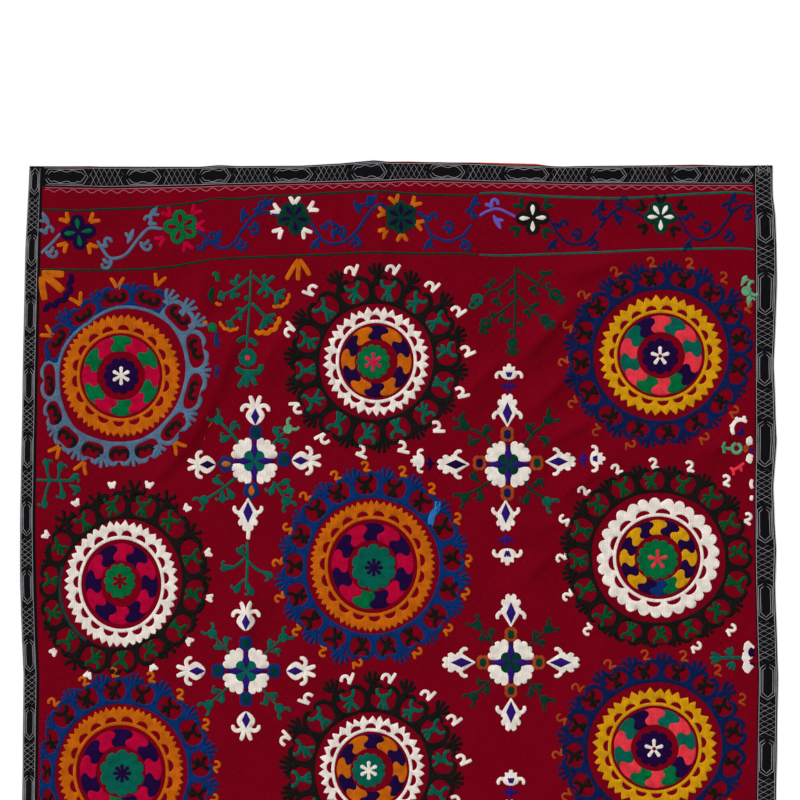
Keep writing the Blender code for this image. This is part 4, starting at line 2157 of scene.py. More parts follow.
@dataclass(frozen=True)
class Rosette:
    """A lobed part round the middle of a form.

    Attributes:
        radius: in squares.
        lobes: number of lobes.
        depth: share of the radius that the notches cut in.
        squash: height over width.
        turn: angle of the first notch from the form's direction, or None to leave the form's direction out.
        level: layers of stitches under it.
        inner: True to take the form's inner thread.
    """

    radius: float
    lobes: int
    depth: float
    squash: float = 1.0
    turn: float | None = 0.0
    level: int = 0
    inner: bool = False

    def sew(self, work: Stitching, local: Frame, thread: Thread) -> None:
        """Stitches the part.

        Args:
            work: gets the stitches.
            local: the form's frame.
            thread: colour.
        """
        turn = 0.0 if self.turn is None else local.angle + self.turn
        outline = lobed(local.origin, self.radius * local.scale, self.lobes, self.depth, self.squash, turn)
        work.patch(outline, thread, level=self.level)


def even(half: Pairs, first: Pairs = (), last: Pairs = ()) -> Pairs:
    """A symmetrical outline from its left half.

    Args:
        half: the left half.
        first: a point on the axis before it.
        last: a point on the axis after it.

    Returns:
        The whole outline.
    """
    return (*first, *half, *last, *((-s, t) for s, t in half[::-1]))


def both(*rows: Row) -> tuple[Row, ...]:
    """Rows on the left side and then on the right one.

    Args:
        *rows: the right side's rows.

    Returns:
        All rows.
    """
    return tuple(
        replace(row, points=tuple((side * s, t) for s, t in row.points)) for side in (-1, 1) for row in rows
    )


def scalloped(steps: int, scallops: int) -> Pairs:
    """A scalloped arc over the form's middle.

    Args:
        steps: number of steps.
        scallops: number of scallops.

    Returns:
        Its points.
    """
    ways = [direction(25 + 130 * j / steps) for j in range(steps + 1)]
    radii = [9.5 + 1.5 * abs(math.sin(math.pi * j * scallops / steps)) for j in range(steps + 1)]
    return tuple((way[0] * radius, way[1] * radius - 6.0) for way, radius in zip(ways, radii))


def lozenge(width: float, foot: float, waist: float, tip: float) -> Pairs:
    """A diamond's outline.

    Args:
        width: half its width.
        foot: place of its foot.
        waist: place of its widest part.
        tip: place of its tip.

    Returns:
        Its points.
    """
    return ((0, foot), (width, waist), (0, tip), (-width, waist))


# The small forms, each drawn in squares with its foot down. The diamonds, drops and dots in the inner thread lie on
# the first thread's stitches and are left out where a mark has no inner thread.
FOOT_MIDDLES = ((-3.4, 0), (0, 0), (3.4, 0))
FOOT_TIPS = ((-5.2, 5.4), (0, 6.8), (5.2, 5.4))
CAP_HALF = ((-5.2, -5.6), (-8.4, -2.6), (-9.4, 2.0), (-6.4, 3.0), (-6.4, 7.4), (-2.8, 7.0), (-1.6, 10.2))
CAP_TOES = [((0, -5.6), (side * 2.0, -1.0), (side * 3.2, 3.4)) for side in (-1, 0, 1)]
CROWN_HALF = (
    (-2.6, -13.0), (-5.6, -8.4), (-8.6, -3.6), (-10.2, 1.0), (-7.8, 3.8), (-10.0, 7.4), (-8.6, 11.2), (-5.6, 10.8),
    (-5.4, 15.0), (-2.4, 17.0), (-0.8, 15.2),
)
FORMS = {
    K.LEAF: (
        Fill(((0.6, -7.4), (2.4, -2.6), (3.2, 1.4), (0.4, 5.6), (-2.8, 2.2), (-1.6, -2.4))),
        Row(2.2, ((0.8, 0.0), (3.8, 2.8), (6.4, 2.0), (6.2, -0.4))),
    ),
    K.TWO: (
        Row(3.4, ((-4.6, -2.0), (-3.4, 1.8), (1.0, 2.4), (2.0, -1.6), (-0.8, -6.2))),
        Row(3.8, ((-0.6, -5.6), (4.0, -4.6), (8.4, -5.6))),
    ),
    K.SPUR: (
        Fill(((0, -7.0), (2.4, -2.4), (2.8, 3), (0.8, 8.8), (-1.8, 3.4), (-1.8, -2.4))),
        Row(3.0, ((0.5, -1.0), (-3.4, 0.6), (-6.2, 3.4))),
    ),
    K.LOOP: (
        Row(3.2, ((0, -6.0), (-1.8, -0.6), (0.4, 4.8), (4.8, 5.0), (7.0, 1.0))),
        Row(3.8, ((-0.6, -1.6), (3.8, -1.0), (8.0, -3.6))),
    ),
    K.POD: (
        Fill(((0, -5.4), (4.4, -3.2), (5.0, 1), (2.0, 5.2), (-2.0, 5.2), (-5.0, 1), (-4.4, -3.2))),
        *both(Row(3.4, ((2.0, 3.0), (6.2, 5.4), (8.2, 9.4), (5.4, 11.0)))),
        Fill(lozenge(1.5, -1.6, 0, 1.6), 1, True),
    ),
    K.CURL: (Row(3.4, ((0, -5.4), (0.6, 0), (3.4, 4.0), (7.2, 2.8), (7.4, -1.0))),),
    K.VEE: both(Row(3.6, ((0, -4.0), (2.2, 0.6), (5.0, 4.6)))),
    K.ANCHOR: (
        Row(3.2, ((0, -6.0), (0, 0), (0.3, 6.5))),
        *both(Row(3.6, ((0, -0.5), (4.0, 0.2), (7.8, 2.6)))),
    ),
    K.PALMETTE: (
        Fill(even(((-5.4, -6.6), (-9.2, -1.0), (-7.8, 4.0), (-4.2, 7.2)), ((0, -9.6),), ((0, 8.6),))),
        *both(
            Row(4.2, ((2.0, 5.6), (6.0, 9.4), (10.4, 9.8), (13.2, 6.6), (12.8, 3.4))),
            Row(4.6, ((1.6, 6.4), (2.6, 12.6), (5.4, 20.4))),
        ),
        Fill(lozenge(4.3 * 0.98, -1.0 - 8.6 * 0.98, -1.0, -1.0 + 8.6 * 0.98), 1, True, False),
    ),
    K.CROWN: (
        Fill(even(CROWN_HALF, ((0, -16.8),))),
        *both(Row(4.0, ((7.0, -1.8), (11.2, -2.2), (14.0, -5.6), (13.0, -9.4)))),
        Fill(lozenge(4.9, -13.6, -2.4, 8.6), 1, True, False),
    ),
    K.CAP: (
        Fill(even(CAP_HALF, ((0, -6.6),))),
        *both(Row(3.8, ((7.4, 0.4), (11.6, 0.8), (14.0, -2.8), (12.6, -6.0)))),
        *(Row(2.0, toe, 1, True, taper=(0.55, 0.55), grows=False) for toe in CAP_TOES),
    ),
    K.BLOSSOM: (
        Rosette(8.2, 5, 0.28, turn=36),
        Fill(((0, -5.0), (2.5, -1.5), (2.5, 2.0), (0, 4.6), (-2.5, 2.0), (-2.5, -1.5)), 1, True),
    ),
    K.SQUARE: (Rosette(8.0, 4, 0.2, 1.12), Rosette(4.0, 4, 0.1, 1.3, level=1, inner=True)),
    K.FOOT: tuple(Row(3.4, ((0, -4.5), middle, tip)) for middle, tip in zip(FOOT_MIDDLES, FOOT_TIPS)),
    K.SCALLOPS: (Row(3.2, scalloped(24, 4), smooth=False, taper=(0.55, 0.55)),),
    K.PETAL: (
        Fill(even(((-2.0, 0.5), (-6.4, 6.0), (-7.0, 11.5), (-3.8, 16.2)), last=((0, 17.2),))),
        Fill(((0, 3.0), (1.9, 7.6), (2.1, 11.0), (0, 13.8), (-2.1, 11.0), (-1.9, 7.6)), 1, True),
    ),
    K.ROUND: (Rosette(6.2, 7, 0.12), Rosette(1.674, 4, 0.05, turn=None, level=1, inner=True)),
}


@dataclass
class Draughtsman:
    """Draws marks and stems into one piece of stitching.

    Attributes:
        work: gets the stitches.
    """

    work: Stitching

    def draw(self, stems: Sequence[Stem], marks: Sequence[Mark]) -> None:
        """Draws several stems and marks.

        Args:
            stems: what to draw first.
            marks: what to draw next.
        """
        for stem in stems:
            self.work.line(places(stem.points), stem.width, stem.thread, stem.level, taper=(0.75, 0.75))
        for mark in marks:
            self.mark(mark)

    def mark(self, mark: Mark) -> None:
        """Draws one mark, mirrored where its scale is below 0.

        Args:
            mark: what to draw.
        """
        local = Frame(at(mark.column, mark.row), mark.angle, abs(mark.scale), 1 if mark.scale > 0 else -1)
        for part in FORMS[mark.kind]:
            thread = mark.inner if part.inner else mark.thread
            if thread:
                part.sew(self.work, local, thread)


@dataclass(frozen=True)
class Spray:
    """A named set of stems and marks that is stitched as one piece.

    Attributes:
        name: the piece's name.
        stems: rows of stitches.
        marks: small forms.
    """

    name: str
    stems: tuple[Stem, ...] = ()
    marks: tuple[Mark, ...] = ()

    def moved(self, name: str, columns: float, rows: float) -> "Spray":
        """The same spray at another place.

        Args:
            name: of the copy.
            columns: squares to the right.
            rows: squares down.

        Returns:
            The copy.
        """
        stems = tuple(s._replace(points=tuple((c + columns, r + rows) for c, r in s.points)) for s in self.stems)
        marks = tuple(m._replace(column=m.column + columns, row=m.row + rows) for m in self.marks)
        return Spray(name, stems, marks)

    def mirrored(self, name: str, row_sum: float) -> "Spray":
        """The spray turned top to bottom.

        Args:
            name: of the copy.
            row_sum: sum of a row and its mirrored row.

        Returns:
            The copy.
        """
        stems = tuple(s._replace(points=tuple((c, row_sum - r) for c, r in s.points)) for s in self.stems)
        marks = tuple(m._replace(row=row_sum - m.row, angle=-m.angle) for m in self.marks)
        return Spray(name, stems, marks)

    def build(self) -> bpy.types.Object | None:
        """Stitches the spray.

        Returns:
            The piece.
        """
        work = Stitching(self.name)
        self.stitch(Draughtsman(work))
        return work.build()

    def stitch(self, hand: Draughtsman) -> None:
        """Draws the spray.

        Args:
            hand: draws it.
        """
        hand.draw(self.stems, self.marks)


@dataclass(frozen=True)
class Cross:
    """A white four-petalled cross with arms of small flowers and palmettes.

    Attributes:
        name: the piece's name.
        column: of its middle.
        row: of its middle.
        spray: the arms.
        heart: colour of its middle.
    """

    name: str
    column: float
    row: float
    spray: Spray
    heart: Thread = Thread.TEAL

    def moved(self, name: str, columns: float, rows: float) -> "Cross":
        """The same cross at another place.

        Args:
            name: of the copy.
            columns: squares to the right.
            rows: squares down.

        Returns:
            The copy.
        """
        spray = self.spray.moved(name + "_arms", columns, rows)
        return Cross(name, self.column + columns, self.row + rows, spray, self.heart)

    def build(self) -> bpy.types.Object | None:
        """Stitches the cross and its arms.

        Returns:
            The piece.
        """
        work = Stitching(self.name)
        hand = Draughtsman(work)
        middle = at(self.column, self.row)
        for angle in (45, 135, 225, 315):
            outline = [polar(middle, 2.5, angle), polar(middle, 12.0, angle - 34)]
            for share in np.linspace(0.0, 1.0, PETAL_STEPS + 1):
                bulge = abs(math.sin(math.pi * share * PETAL_SCALLOPS)) ** 0.6
                radius = PETAL_RADIUS + 2.4 * math.sin(math.pi * share) + 2.6 * bulge
                outline.append(polar(middle, radius, angle + PETAL_HALF_ANGLE * (2 * share - 1)))
            outline.append(polar(middle, 12.0, angle + 34))
            work.patch(outline, T.WHITE)
        work.patch(lobed(middle, 12.2, 4, 0.5, 1.0, 0.0), self.heart, level=1)
        for angle in (0, 90, 180, 270):
            wedge = Frame(middle, angle)
            outline = wedge.path((0, 1.6), (3.6, 10.6), (0, 21.4), (-3.6, 10.6))
            work.patch(outline, T.VIOLET, level=2)
        self.spray.stitch(hand)
        return work.build()


# Where the edging's segments end along the strips, cartouches and lattices by turns, in squares. Below the cut of
# the photo the side strips go on with segments of one length.
END_START = 44
END_STOPS = (88, 125, 161, 198, 231, 272, 313, 350, 387, 428, 465, 503, 549, 589, 627, 670, 701, 739, 753)
SIDE_START = 168
SIDE_END = 1150
LEFT_STOPS = (195, 233, 266, 297, 333, 367, 403, 434, 468, 500, 536, 569, 604, 638, 672, 706)
RIGHT_STOPS = (172, 211, 243, 271, 315, 350, 386, 420, 467, 505, 543, 582, 620, 663, 700)
LEFT_REPEAT = 34
RIGHT_REPEAT = 38
Place = Callable[[float, float], Point]


@dataclass(frozen=True)
class Edging:
    """The machine-stitched ornament of the edging strips: rows of lines, lattices and long cartouches.

    Attributes:
        thread: its colour.
        width: of one line in squares.
    """

    thread: Thread = Thread.GREY
    width: float = 0.5

    @staticmethod
    def side(left: bool, reach: float, row: float, share: float) -> Point:
        """A place on a side strip.

        Args:
            left: True for the left strip.
            reach: part of the strip's width that the ornament takes.
            row: chart row.
            share: 0 at the outer edge, 1 at the seam.

        Returns:
            The place in metres.
        """
        y = float(at(0, row)[1])
        keys = ("left_edge", "left_strip") if left else ("right_edge", "right_strip")
        outer, seam = (float(ClothForm.line_at(ACROSS, key, "y", y)) for key in keys)
        return np.array([outer + (seam - outer) * share * reach, y])

    @staticmethod
    def end(top: bool, column: float, share: float) -> Point:
        """A place on the top or the bottom strip.

        Args:
            top: True for the top strip.
            column: chart column.
            share: 0 at the outer edge, 1 at the seam.

        Returns:
            The place in metres.
        """
        x = float(at(column, 0)[0])
        table = TOP if top else BOTTOM
        outer, seam = (float(ClothForm.line_at(table, key, "x", x)) for key in ("edge", "strip"))
        return np.array([x, outer + (seam - outer) * share])

    def strip(self, name: str, place: Place, start: float, stops: Sequence[float], waves: bool) -> None:
        """Stitches one strip: cartouches and lattices by turns between its stops.

        Args:
            name: the piece's name.
            place: function of a distance along the strip and a share across it.
            start: where its lines start.
            stops: ends of the segments, the first one a cartouche's.
            waves: True for wavy lines in the cartouches.
        """
        work = Stitching(name)
        end = stops[-1]
        count = round((end - start) / 6)
        for share in (0.08, 0.92):
            self.run(work, [place(start + (end - start) * k / count, share) for k in range(count + 1)])
        for k, (first, last) in enumerate(zip((start, *stops), stops)):
            if k % 2 == 0:
                self.cartouche(work, place, first, last, waves)
            else:
                self.lattice(work, place, first, last)
        work.build()

    def run(self, work: Stitching, line: list[Point]) -> None:
        """Stitches one thin line.

        Args:
            work: gets the stitches.
            line: its points.
        """
        work.line(line, self.width, self.thread, smooth=False, resampled=False)

    def cartouche(self, work: Stitching, place: Place, first: float, last: float, waves: bool) -> None:
        """Stitches a long cartouche: a dark field between paired lines.

        Args:
            work: gets the stitches.
            place: function of a distance along the strip and a share across it.
            first: where it starts.
            last: where it ends.
            waves: True for wavy long sides.
        """
        for inset in (0.0, 0.09) if waves else (0.0, 0.10):
            slope, edge, low = 4.6, inset * 26, 0.15 + inset
            corners = (
                (first + edge, 0.5),
                (first + edge + slope, 1 - low),
                (last - edge - slope, 1 - low),
                (last - edge, 0.5),
                (last - edge - slope, low),
                (first + edge + slope, low),
                (first + edge, 0.5),
            )
            line = []
            for (along0, share0), (along1, share1) in zip(corners, corners[1:]):
                parts = max(1, round(abs(along1 - along0) / 3.2))
                for j in range(parts):
                    along = along0 + (along1 - along0) * j / parts
                    share = share0 + (share1 - share0) * j / parts
                    sway = 0.05 * math.sin(along * 2 * math.pi / MACHINE_WAVE) if waves and inset else 0.0
                    line.append(place(along, share + math.copysign(sway, sway * (0.5 - share))))
            line.append(place(*corners[-1]))
            self.run(work, line)

    def lattice(self, work: Stitching, place: Place, first: float, last: float) -> None:
        """Stitches a net of crossing lines over the strip's whole width.

        Args:
            work: gets the stitches.
            place: function of a distance along the strip and a share across it.
            first: where it starts.
            last: where it ends.
        """
        half = MACHINE_LATTICE * 1.5
        for shift in range(3):
            along, up = first + shift * MACHINE_LATTICE - 2 * half, 0
            line = []
            while along < last + half:
                line.append((along, 0.9 if up else 0.1))
                along += half
                up = 1 - up
            self.run(work, [place(a, s) for a, s in self.clipped(line, first, last)])

    @staticmethod
    def clipped(line: list[tuple[float, float]], first: float, last: float) -> list[tuple[float, float]]:
        """Cuts a zigzag to a segment of the strip.

        Args:
            line: distances along and shares across.
            first: where the segment starts.
            last: where it ends.

        Returns:
            The part inside.
        """
        known = [along for along, _ in line]
        shares = [share for _, share in line]
        inside = [first, *[along for along in known if first < along < last], last]
        return [(along, float(np.interp(along, known, shares))) for along in inside]

    def build(self) -> None:
        """Stitches all four strips."""
        for name, top in (("edging_top", True), ("edging_bottom", False)):
            self.strip(name, partial(self.end, top), END_START, END_STOPS, True)
        sides = (
            ("edging_left", True, 0.86, LEFT_STOPS, LEFT_REPEAT),
            ("edging_right", False, 1.0, RIGHT_STOPS, RIGHT_REPEAT),
        )
        for name, left, reach, stops, length in sides:
            more = math.ceil((SIDE_END - stops[-1]) / length)
            stops += tuple(stops[-1] + length * (k + 1) for k in range(more))
            self.strip(name, partial(self.side, left, reach), SIDE_START, stops, False)


def row_of(thread: Thread, width: float, *points: tuple[float, float]) -> Stem:
    """A stem from its points.

    Args:
        thread: its colour.
        width: in squares.
        *points: chart places.

    Returns:
        The stem.
    """
    return Stem(thread, width, points)


def strokes(thread: Thread, width: float, *paths: tuple[tuple[float, float], ...]) -> tuple[Stem, ...]:
    """Several rows of one thread and width.

    Args:
        thread: their colour.
        width: in squares.
        *paths: chart places of each.

    Returns:
        The stems.
    """
    return tuple(Stem(thread, width, path) for path in paths)


def alike(kind: Kind, outer: Thread, inner: Thread | None, *rows: tuple[float, ...]) -> tuple[Mark, ...]:
    """Several marks of one kind and one pair of threads.

    Args:
        kind: their form.
        outer: colour.
        inner: colour of what lies on it, if any.
        *rows: column, row, angle and scale of each.

    Returns:
        The marks.
    """
    return tuple(Mark(kind, *row, outer, inner) for row in rows)


def leaves(thread: Thread, scale: float, *rows: tuple[float, float, float]) -> tuple[Mark, ...]:
    """Several leaves of one colour.

    Args:
        thread: their colour.
        scale: size factor.
        *rows: column, row and angle of each.

    Returns:
        The marks.
    """
    return tuple(Mark(K.LEAF, column, row, angle, scale, thread) for column, row, angle in rows)


def tendrils(thread: Thread, *rows: tuple[float, float, float]) -> tuple[Mark, ...]:
    """Curls, leaves and loops by turns along a vine.

    Args:
        thread: their colour.
        *rows: column, row and angle of each.

    Returns:
        The marks.
    """
    kinds = (K.TWO, K.SPUR, K.LOOP)
    return tuple(
        Mark(kinds[k % 3], column, row, angle, 1.0 if k % 2 else -1.0, thread)
        for k, (column, row, angle) in enumerate(rows)
    )


def flower(column: float, row: float, outer: Thread, inner: Thread, scale: float, *angles: float) -> tuple[Mark, ...]:
    """A flower of broad petals.

    Args:
        column: of its middle.
        row: of its middle.
        outer: colour of the petals.
        inner: colour of the drops on them.
        scale: size factor.
        *angles: the petals' directions.

    Returns:
        The marks.
    """
    return tuple(Mark(K.PETAL, column, row, angle, scale, outer, inner) for angle in angles)


def vees(thread: Thread, column: float, row: float, *spots: tuple[float, float]) -> tuple[Mark, ...]:
    """Small Vs that point away from a middle.

    Args:
        thread: their colour.
        column: of the middle.
        row: of the middle.
        *spots: their places.

    Returns:
        The marks.
    """
    marks = []
    for spot_column, spot_row in spots:
        angle = math.degrees(math.atan2(row - spot_row, spot_column - column))
        marks.append(Mark(K.VEE, spot_column, spot_row, angle, 1.15, thread))
    return tuple(marks)


def wavy_line(thread: Thread, width: float, start: float, end: float, drop: float, sway: float) -> Stem:
    """A machine-stitched line that runs below the top strip.

    Args:
        thread: its colour.
        width: in squares.
        start: first column.
        end: last column.
        drop: distance below the strip in squares.
        sway: height of its waves in squares.

    Returns:
        The stem.
    """
    points = []
    for k in range(round((end - start) / 3.0) + 1):
        column = start + 3.0 * k
        x = float(at(column, 0)[0])
        seam = CHART_ZERO_ROW - float(ClothForm.line_at(TOP, "strip", "x", x)) / SQUARE
        points.append((column, seam + drop + sway * math.sin(column * 2 * math.pi / MACHINE_WAVE)))
    return Stem(thread, width, tuple(points))


BORDER_LINES = Spray(
    "border_lines",
    (
        wavy_line(T.ROSE, 0.6, 45.0, 752.0, 1.0, 0.0),
        wavy_line(T.ROSE, 0.6, 45.0, 752.0, 3.8, 1.5),
        *strokes(
            T.DARK_GREEN, 2.0, ((42, 209.5), (79, 210.6), (104, 209.4), (150, 207.5), (187, 203.8), (213, 199)),
            (
                (214, 198.4), (245, 198.5), (264, 196.2), (300, 195.6), (321, 193.6), (375, 191.4), (420, 194.4),
                (478, 195.8),
            ),
        ),
        row_of(
            T.TEAL, 2.2, (479, 193.5), (502, 193), (553, 196.6), (622, 198.2), (681, 194.8), (732, 192.3),
            (754, 194),
        ),
        *strokes(
            T.DARK_GREEN, 2.0, ((40, 269.4), (107, 270), (161, 268), (213, 259.4)),
            ((214, 259.2), (254, 257.3), (321, 254.7), (375, 252.5), (420, 253.8), (451, 253.5), (478, 254.6)),
        ),
        row_of(
            T.TEAL, 2.0, (479, 254.6), (502, 255.6), (553, 254), (604, 252.2), (655, 249.7), (732, 248.4),
            (754, 249.7),
        ),
    ),
)

BAND = Spray(
    "border_flowers",
    (
        row_of(T.BLUE_GREY, 2.8, (41, 253.4), (52, 243), (61, 233)),
        row_of(
            T.BLUE_GREY, 3.0, (97, 240), (108, 256.6), (117.5, 258), (127, 253.4), (138, 239.4), (149, 228.4),
            (163, 229),
        ),
        *strokes(
            T.BLUE, 2.8,
            (
                (198, 230), (210, 241), (217.5, 247), (227, 248), (235, 242), (242.5, 230), (252, 217.5),
                (264, 212), (278, 215),
            ),
            (
                (309, 220), (317.5, 233), (325, 241.7), (335, 244), (345.6, 241), (356.6, 231.6), (366, 217.5),
                (375, 207), (381.6, 205), (390, 210),
            ),
        ),
        row_of(
            T.BLUE, 2.6, (414, 213), (422, 213.6), (425, 222), (430, 233), (439, 239), (450, 241), (463, 235.5),
            (472, 224),
        ),
        row_of(T.LAVENDER, 2.6, (479, 216), (488, 211), (499, 209), (516, 217)),
        *strokes(
            T.NAVY, 2.6,
            (
                (549, 218), (557, 232), (566, 241.6), (576, 244.6), (587, 241.6), (596, 232), (605, 220),
                (616, 209.5), (626, 207.7), (635, 212), (645, 218),
            ),
            (
                (678, 216), (685, 229), (692.5, 238), (703, 240), (716, 234.5), (725, 223), (733.6, 211),
                (744, 205), (754, 206),
            ),
        ),
    ),
    flower(78.4, 232.3, T.DARK_VIOLET, T.GREEN, 1.02, 96, 8, -82, 186)
    + flower(180.8, 227.0, T.GREEN, T.CRIMSON, 1.0, 95, 30, -28, -108, 178)
    + flower(293.8, 218.0, T.DARK_GREEN, T.DARK_VIOLET, 1.0, 125, 58, -8, -80, 186)
    + flower(401.0, 217.5, T.DARK_GREEN, T.DARK_VIOLET, 0.98, 92, 35, -28, -90, -148, 150)
    + flower(532.7, 218.0, T.BLACK, T.WHITE, 0.98, 90, 2, -90, 182)
    + flower(660.7, 217.0, T.DARK_GREEN, T.WHITE, 0.96, 60, 122, 0, -90, 180)
    + vees(T.ORANGE, 78.4, 232.3, (66, 219), (93, 219.6), (64, 246), (91, 247))
    + vees(T.MAGENTA, 180.8, 227.0, (168, 213), (195, 211), (200, 226), (187, 246), (161, 240))
    + vees(T.WHITE, 293.8, 218.0, (294.5, 201), (276, 210), (312, 208), (279, 232), (305, 232))
    + vees(T.ORANGE, 401.0, 217.5, (395, 200), (415, 203), (382, 213), (419, 224), (384, 232), (402, 236.5))
    + vees(T.DARK_GREEN, 532.7, 218.0, (520, 205), (547, 205), (516, 230), (546, 232))
    + vees(T.BLACK, 660.7, 217.0, (660.7, 199.6), (642, 207), (681, 206), (644, 228), (674, 230))
    + tendrils(T.BLUE_GREY, (49, 229, 60), (46, 220, 120), (50, 254, -45))
    + tendrils(
        T.BLUE_GREY, (107, 241, 90), (130, 237, 70), (144, 246, -60), (149, 219, 90), (153, 213, 50),
        (109, 264, -110),
    )
    + tendrils(
        T.BLUE, (202, 247, -100), (218, 237, 70), (240, 247, -30), (214, 236, 80), (243, 216, 80), (256, 227, -60),
        (261, 205, 90), (267, 204, 40),
    )
    + tendrils(
        T.BLUE, (329, 224, 70), (316, 243, -130), (343, 234, 60), (336, 229, 20), (358, 208, 110), (357, 240, -40),
        (370, 200, 90), (372, 201, 60),
    )
    + tendrils(
        T.BLUE, (433, 216, 60), (429, 243, -120), (450, 229, 60), (471, 212, 90), (474, 203, 60), (466, 243, -30),
    )
    + tendrils(T.LAVENDER, (494, 202, 70), (497, 221, -60))
    + tendrils(
        T.NAVY, (563, 223, 60), (553, 244, -130), (578, 236, 50), (597, 214, 100), (600, 208, 60), (594, 242, -40),
        (623, 200, 80), (617.5, 218, -60),
    )
    + tendrils(
        T.NAVY, (690, 216, 60), (688, 245, -120), (707, 229, 50), (727, 206, 100), (732, 200, 60), (730, 234, -40),
        (748, 216, -60),
    ),
)

CROSS_1 = Cross(
    "cross_1_1", 254.3, 461.0,
    Spray(
        "arms",
        (
            *strokes(
                T.TEAL, 2.6, ((241, 446), (232, 434), (221, 423)), ((272, 445), (284.5, 432)),
                ((237, 477), (222, 489), (208, 498)), ((273, 481), (285, 498)),
            ),
            row_of(T.WHITE, 4.0, (248, 524), (248.5, 532), (248, 540)),
            *strokes(
                T.TEAL, 2.6, ((247, 541), (247.5, 560), (246, 590)), ((247, 556), (236, 566), (226, 569)),
                ((247, 560), (258, 570), (268, 573)), ((246, 578), (238, 585)),
            ),
        ),
        (
            Mark(K.SQUARE, 255.8, 432.8, 90, 0.85, T.BLUE, T.DARK_GREEN),
            Mark(K.PALMETTE, 255.3, 415.5, 90, 1.0, T.WHITE, T.VIOLET),
            Mark(K.SQUARE, 284.0, 459.5, 0, 0.9, T.BLUE, T.DARK_GREEN),
            Mark(K.PALMETTE, 301.5, 460.6, 0, 0.98, T.WHITE, T.VIOLET),
            Mark(K.BLOSSOM, 226.0, 464.0, 180, 1.0, T.BLUE, T.ORANGE),
            Mark(K.PALMETTE, 206.5, 464.6, 180, 0.95, T.WHITE, T.DARK_VIOLET),
            Mark(K.BLOSSOM, 251.5, 490.7, -90, 1.05, T.BLUE, T.ORANGE),
            Mark(K.CROWN, 248.0, 514.5, -90, 0.98, T.WHITE, T.VIOLET),
            Mark(K.POD, 218.5, 420.0, 135, 0.85, T.TEAL),
            Mark(K.POD, 288.0, 429.0, 45, 0.85, T.LIGHT_GREEN),
            *alike(K.POD, T.TEAL, None, (204.0, 500.0, -145, 0.85), (286.0, 501.0, -60, 0.85)),
        )
        + leaves(
            T.TEAL, 1.05, (233, 426, 60), (225.5, 439, 200), (276, 432, 110), (284, 441, -10), (217.5, 482, 150),
            (223, 497, -90), (231, 494, -60), (284.5, 482, 20), (289, 491, 0), (272.5, 490, -110), (226, 568, 190),
            (268, 574, -30), (238, 588, -120), (251, 590, -70), (241, 552, 140),
        ),
    ),
)

CROSS_2 = Cross(
    "cross_1_2", 508.1, 464.4,
    Spray(
        "arms",
        (
            *strokes(
                T.DARK_GREEN, 2.6, ((494, 450), (486, 436), (470, 429)), ((522, 449), (533, 434), (545, 424)),
                ((494, 479), (480, 488), (467, 495)), ((522, 479), (533, 491), (545, 499)),
            ),
        ),
        (
            Mark(K.SQUARE, 507.4, 434.3, 90, 0.95, T.RUST, T.NAVY),
            Mark(K.CROWN, 507.4, 410.5, 90, 0.98, T.WHITE, T.VIOLET),
            Mark(K.SQUARE, 537.0, 463.0, 0, 0.92, T.RUST, T.DARK_GREEN),
            Mark(K.CROWN, 560.5, 461.6, 0, 0.9, T.WHITE, T.VIOLET),
            Mark(K.SQUARE, 507.4, 493.0, -90, 0.95, T.RUST, T.NAVY),
            Mark(K.CROWN, 505.7, 515.5, -90, 0.92, T.WHITE, T.VIOLET),
            Mark(K.SQUARE, 479.5, 463.0, 180, 0.92, T.RUST, T.DARK_VIOLET),
            Mark(K.CROWN, 453.5, 464.4, 180, 0.95, T.WHITE, T.DARK_VIOLET),
            *alike(K.ANCHOR, T.VIOLET, None, (508.5, 386.6, 90, 1.0), (583.0, 459.5, 0, 0.95)),
            Mark(K.ANCHOR, 430.0, 463.7, 180, 0.95, T.DARK_VIOLET),
            Mark(K.ANCHOR, 506.0, 539.5, -90, 1.0, T.VIOLET),
            *alike(K.CAP, T.WHITE, T.VIOLET, (509.0, 373.5, 90, 0.92), (596.0, 458.6, 0, 0.88)),
            Mark(K.CAP, 419.0, 461.0, 180, 0.8, T.WHITE),
            Mark(K.CAP, 507.4, 555.0, -90, 0.98, T.WHITE, T.VIOLET),
            *alike(
                K.POD, T.DARK_GREEN, None, (465.0, 426.5, 150, 0.9), (548.0, 420.0, 40, 0.9),
                (465.0, 497.0, -150, 0.9),
            ),
            Mark(K.POD, 547.0, 501.6, -35, 0.9, T.TEAL),
        )
        + leaves(
            T.DARK_GREEN, 1.05, (485.5, 430, 70), (474, 442.5, 200), (529, 429, 110), (545, 439, -20),
            (474, 478, 140), (481, 496, -80), (538, 482, 30), (527, 499, -110),
        ),
    ),
    T.DARK_GREEN,
)


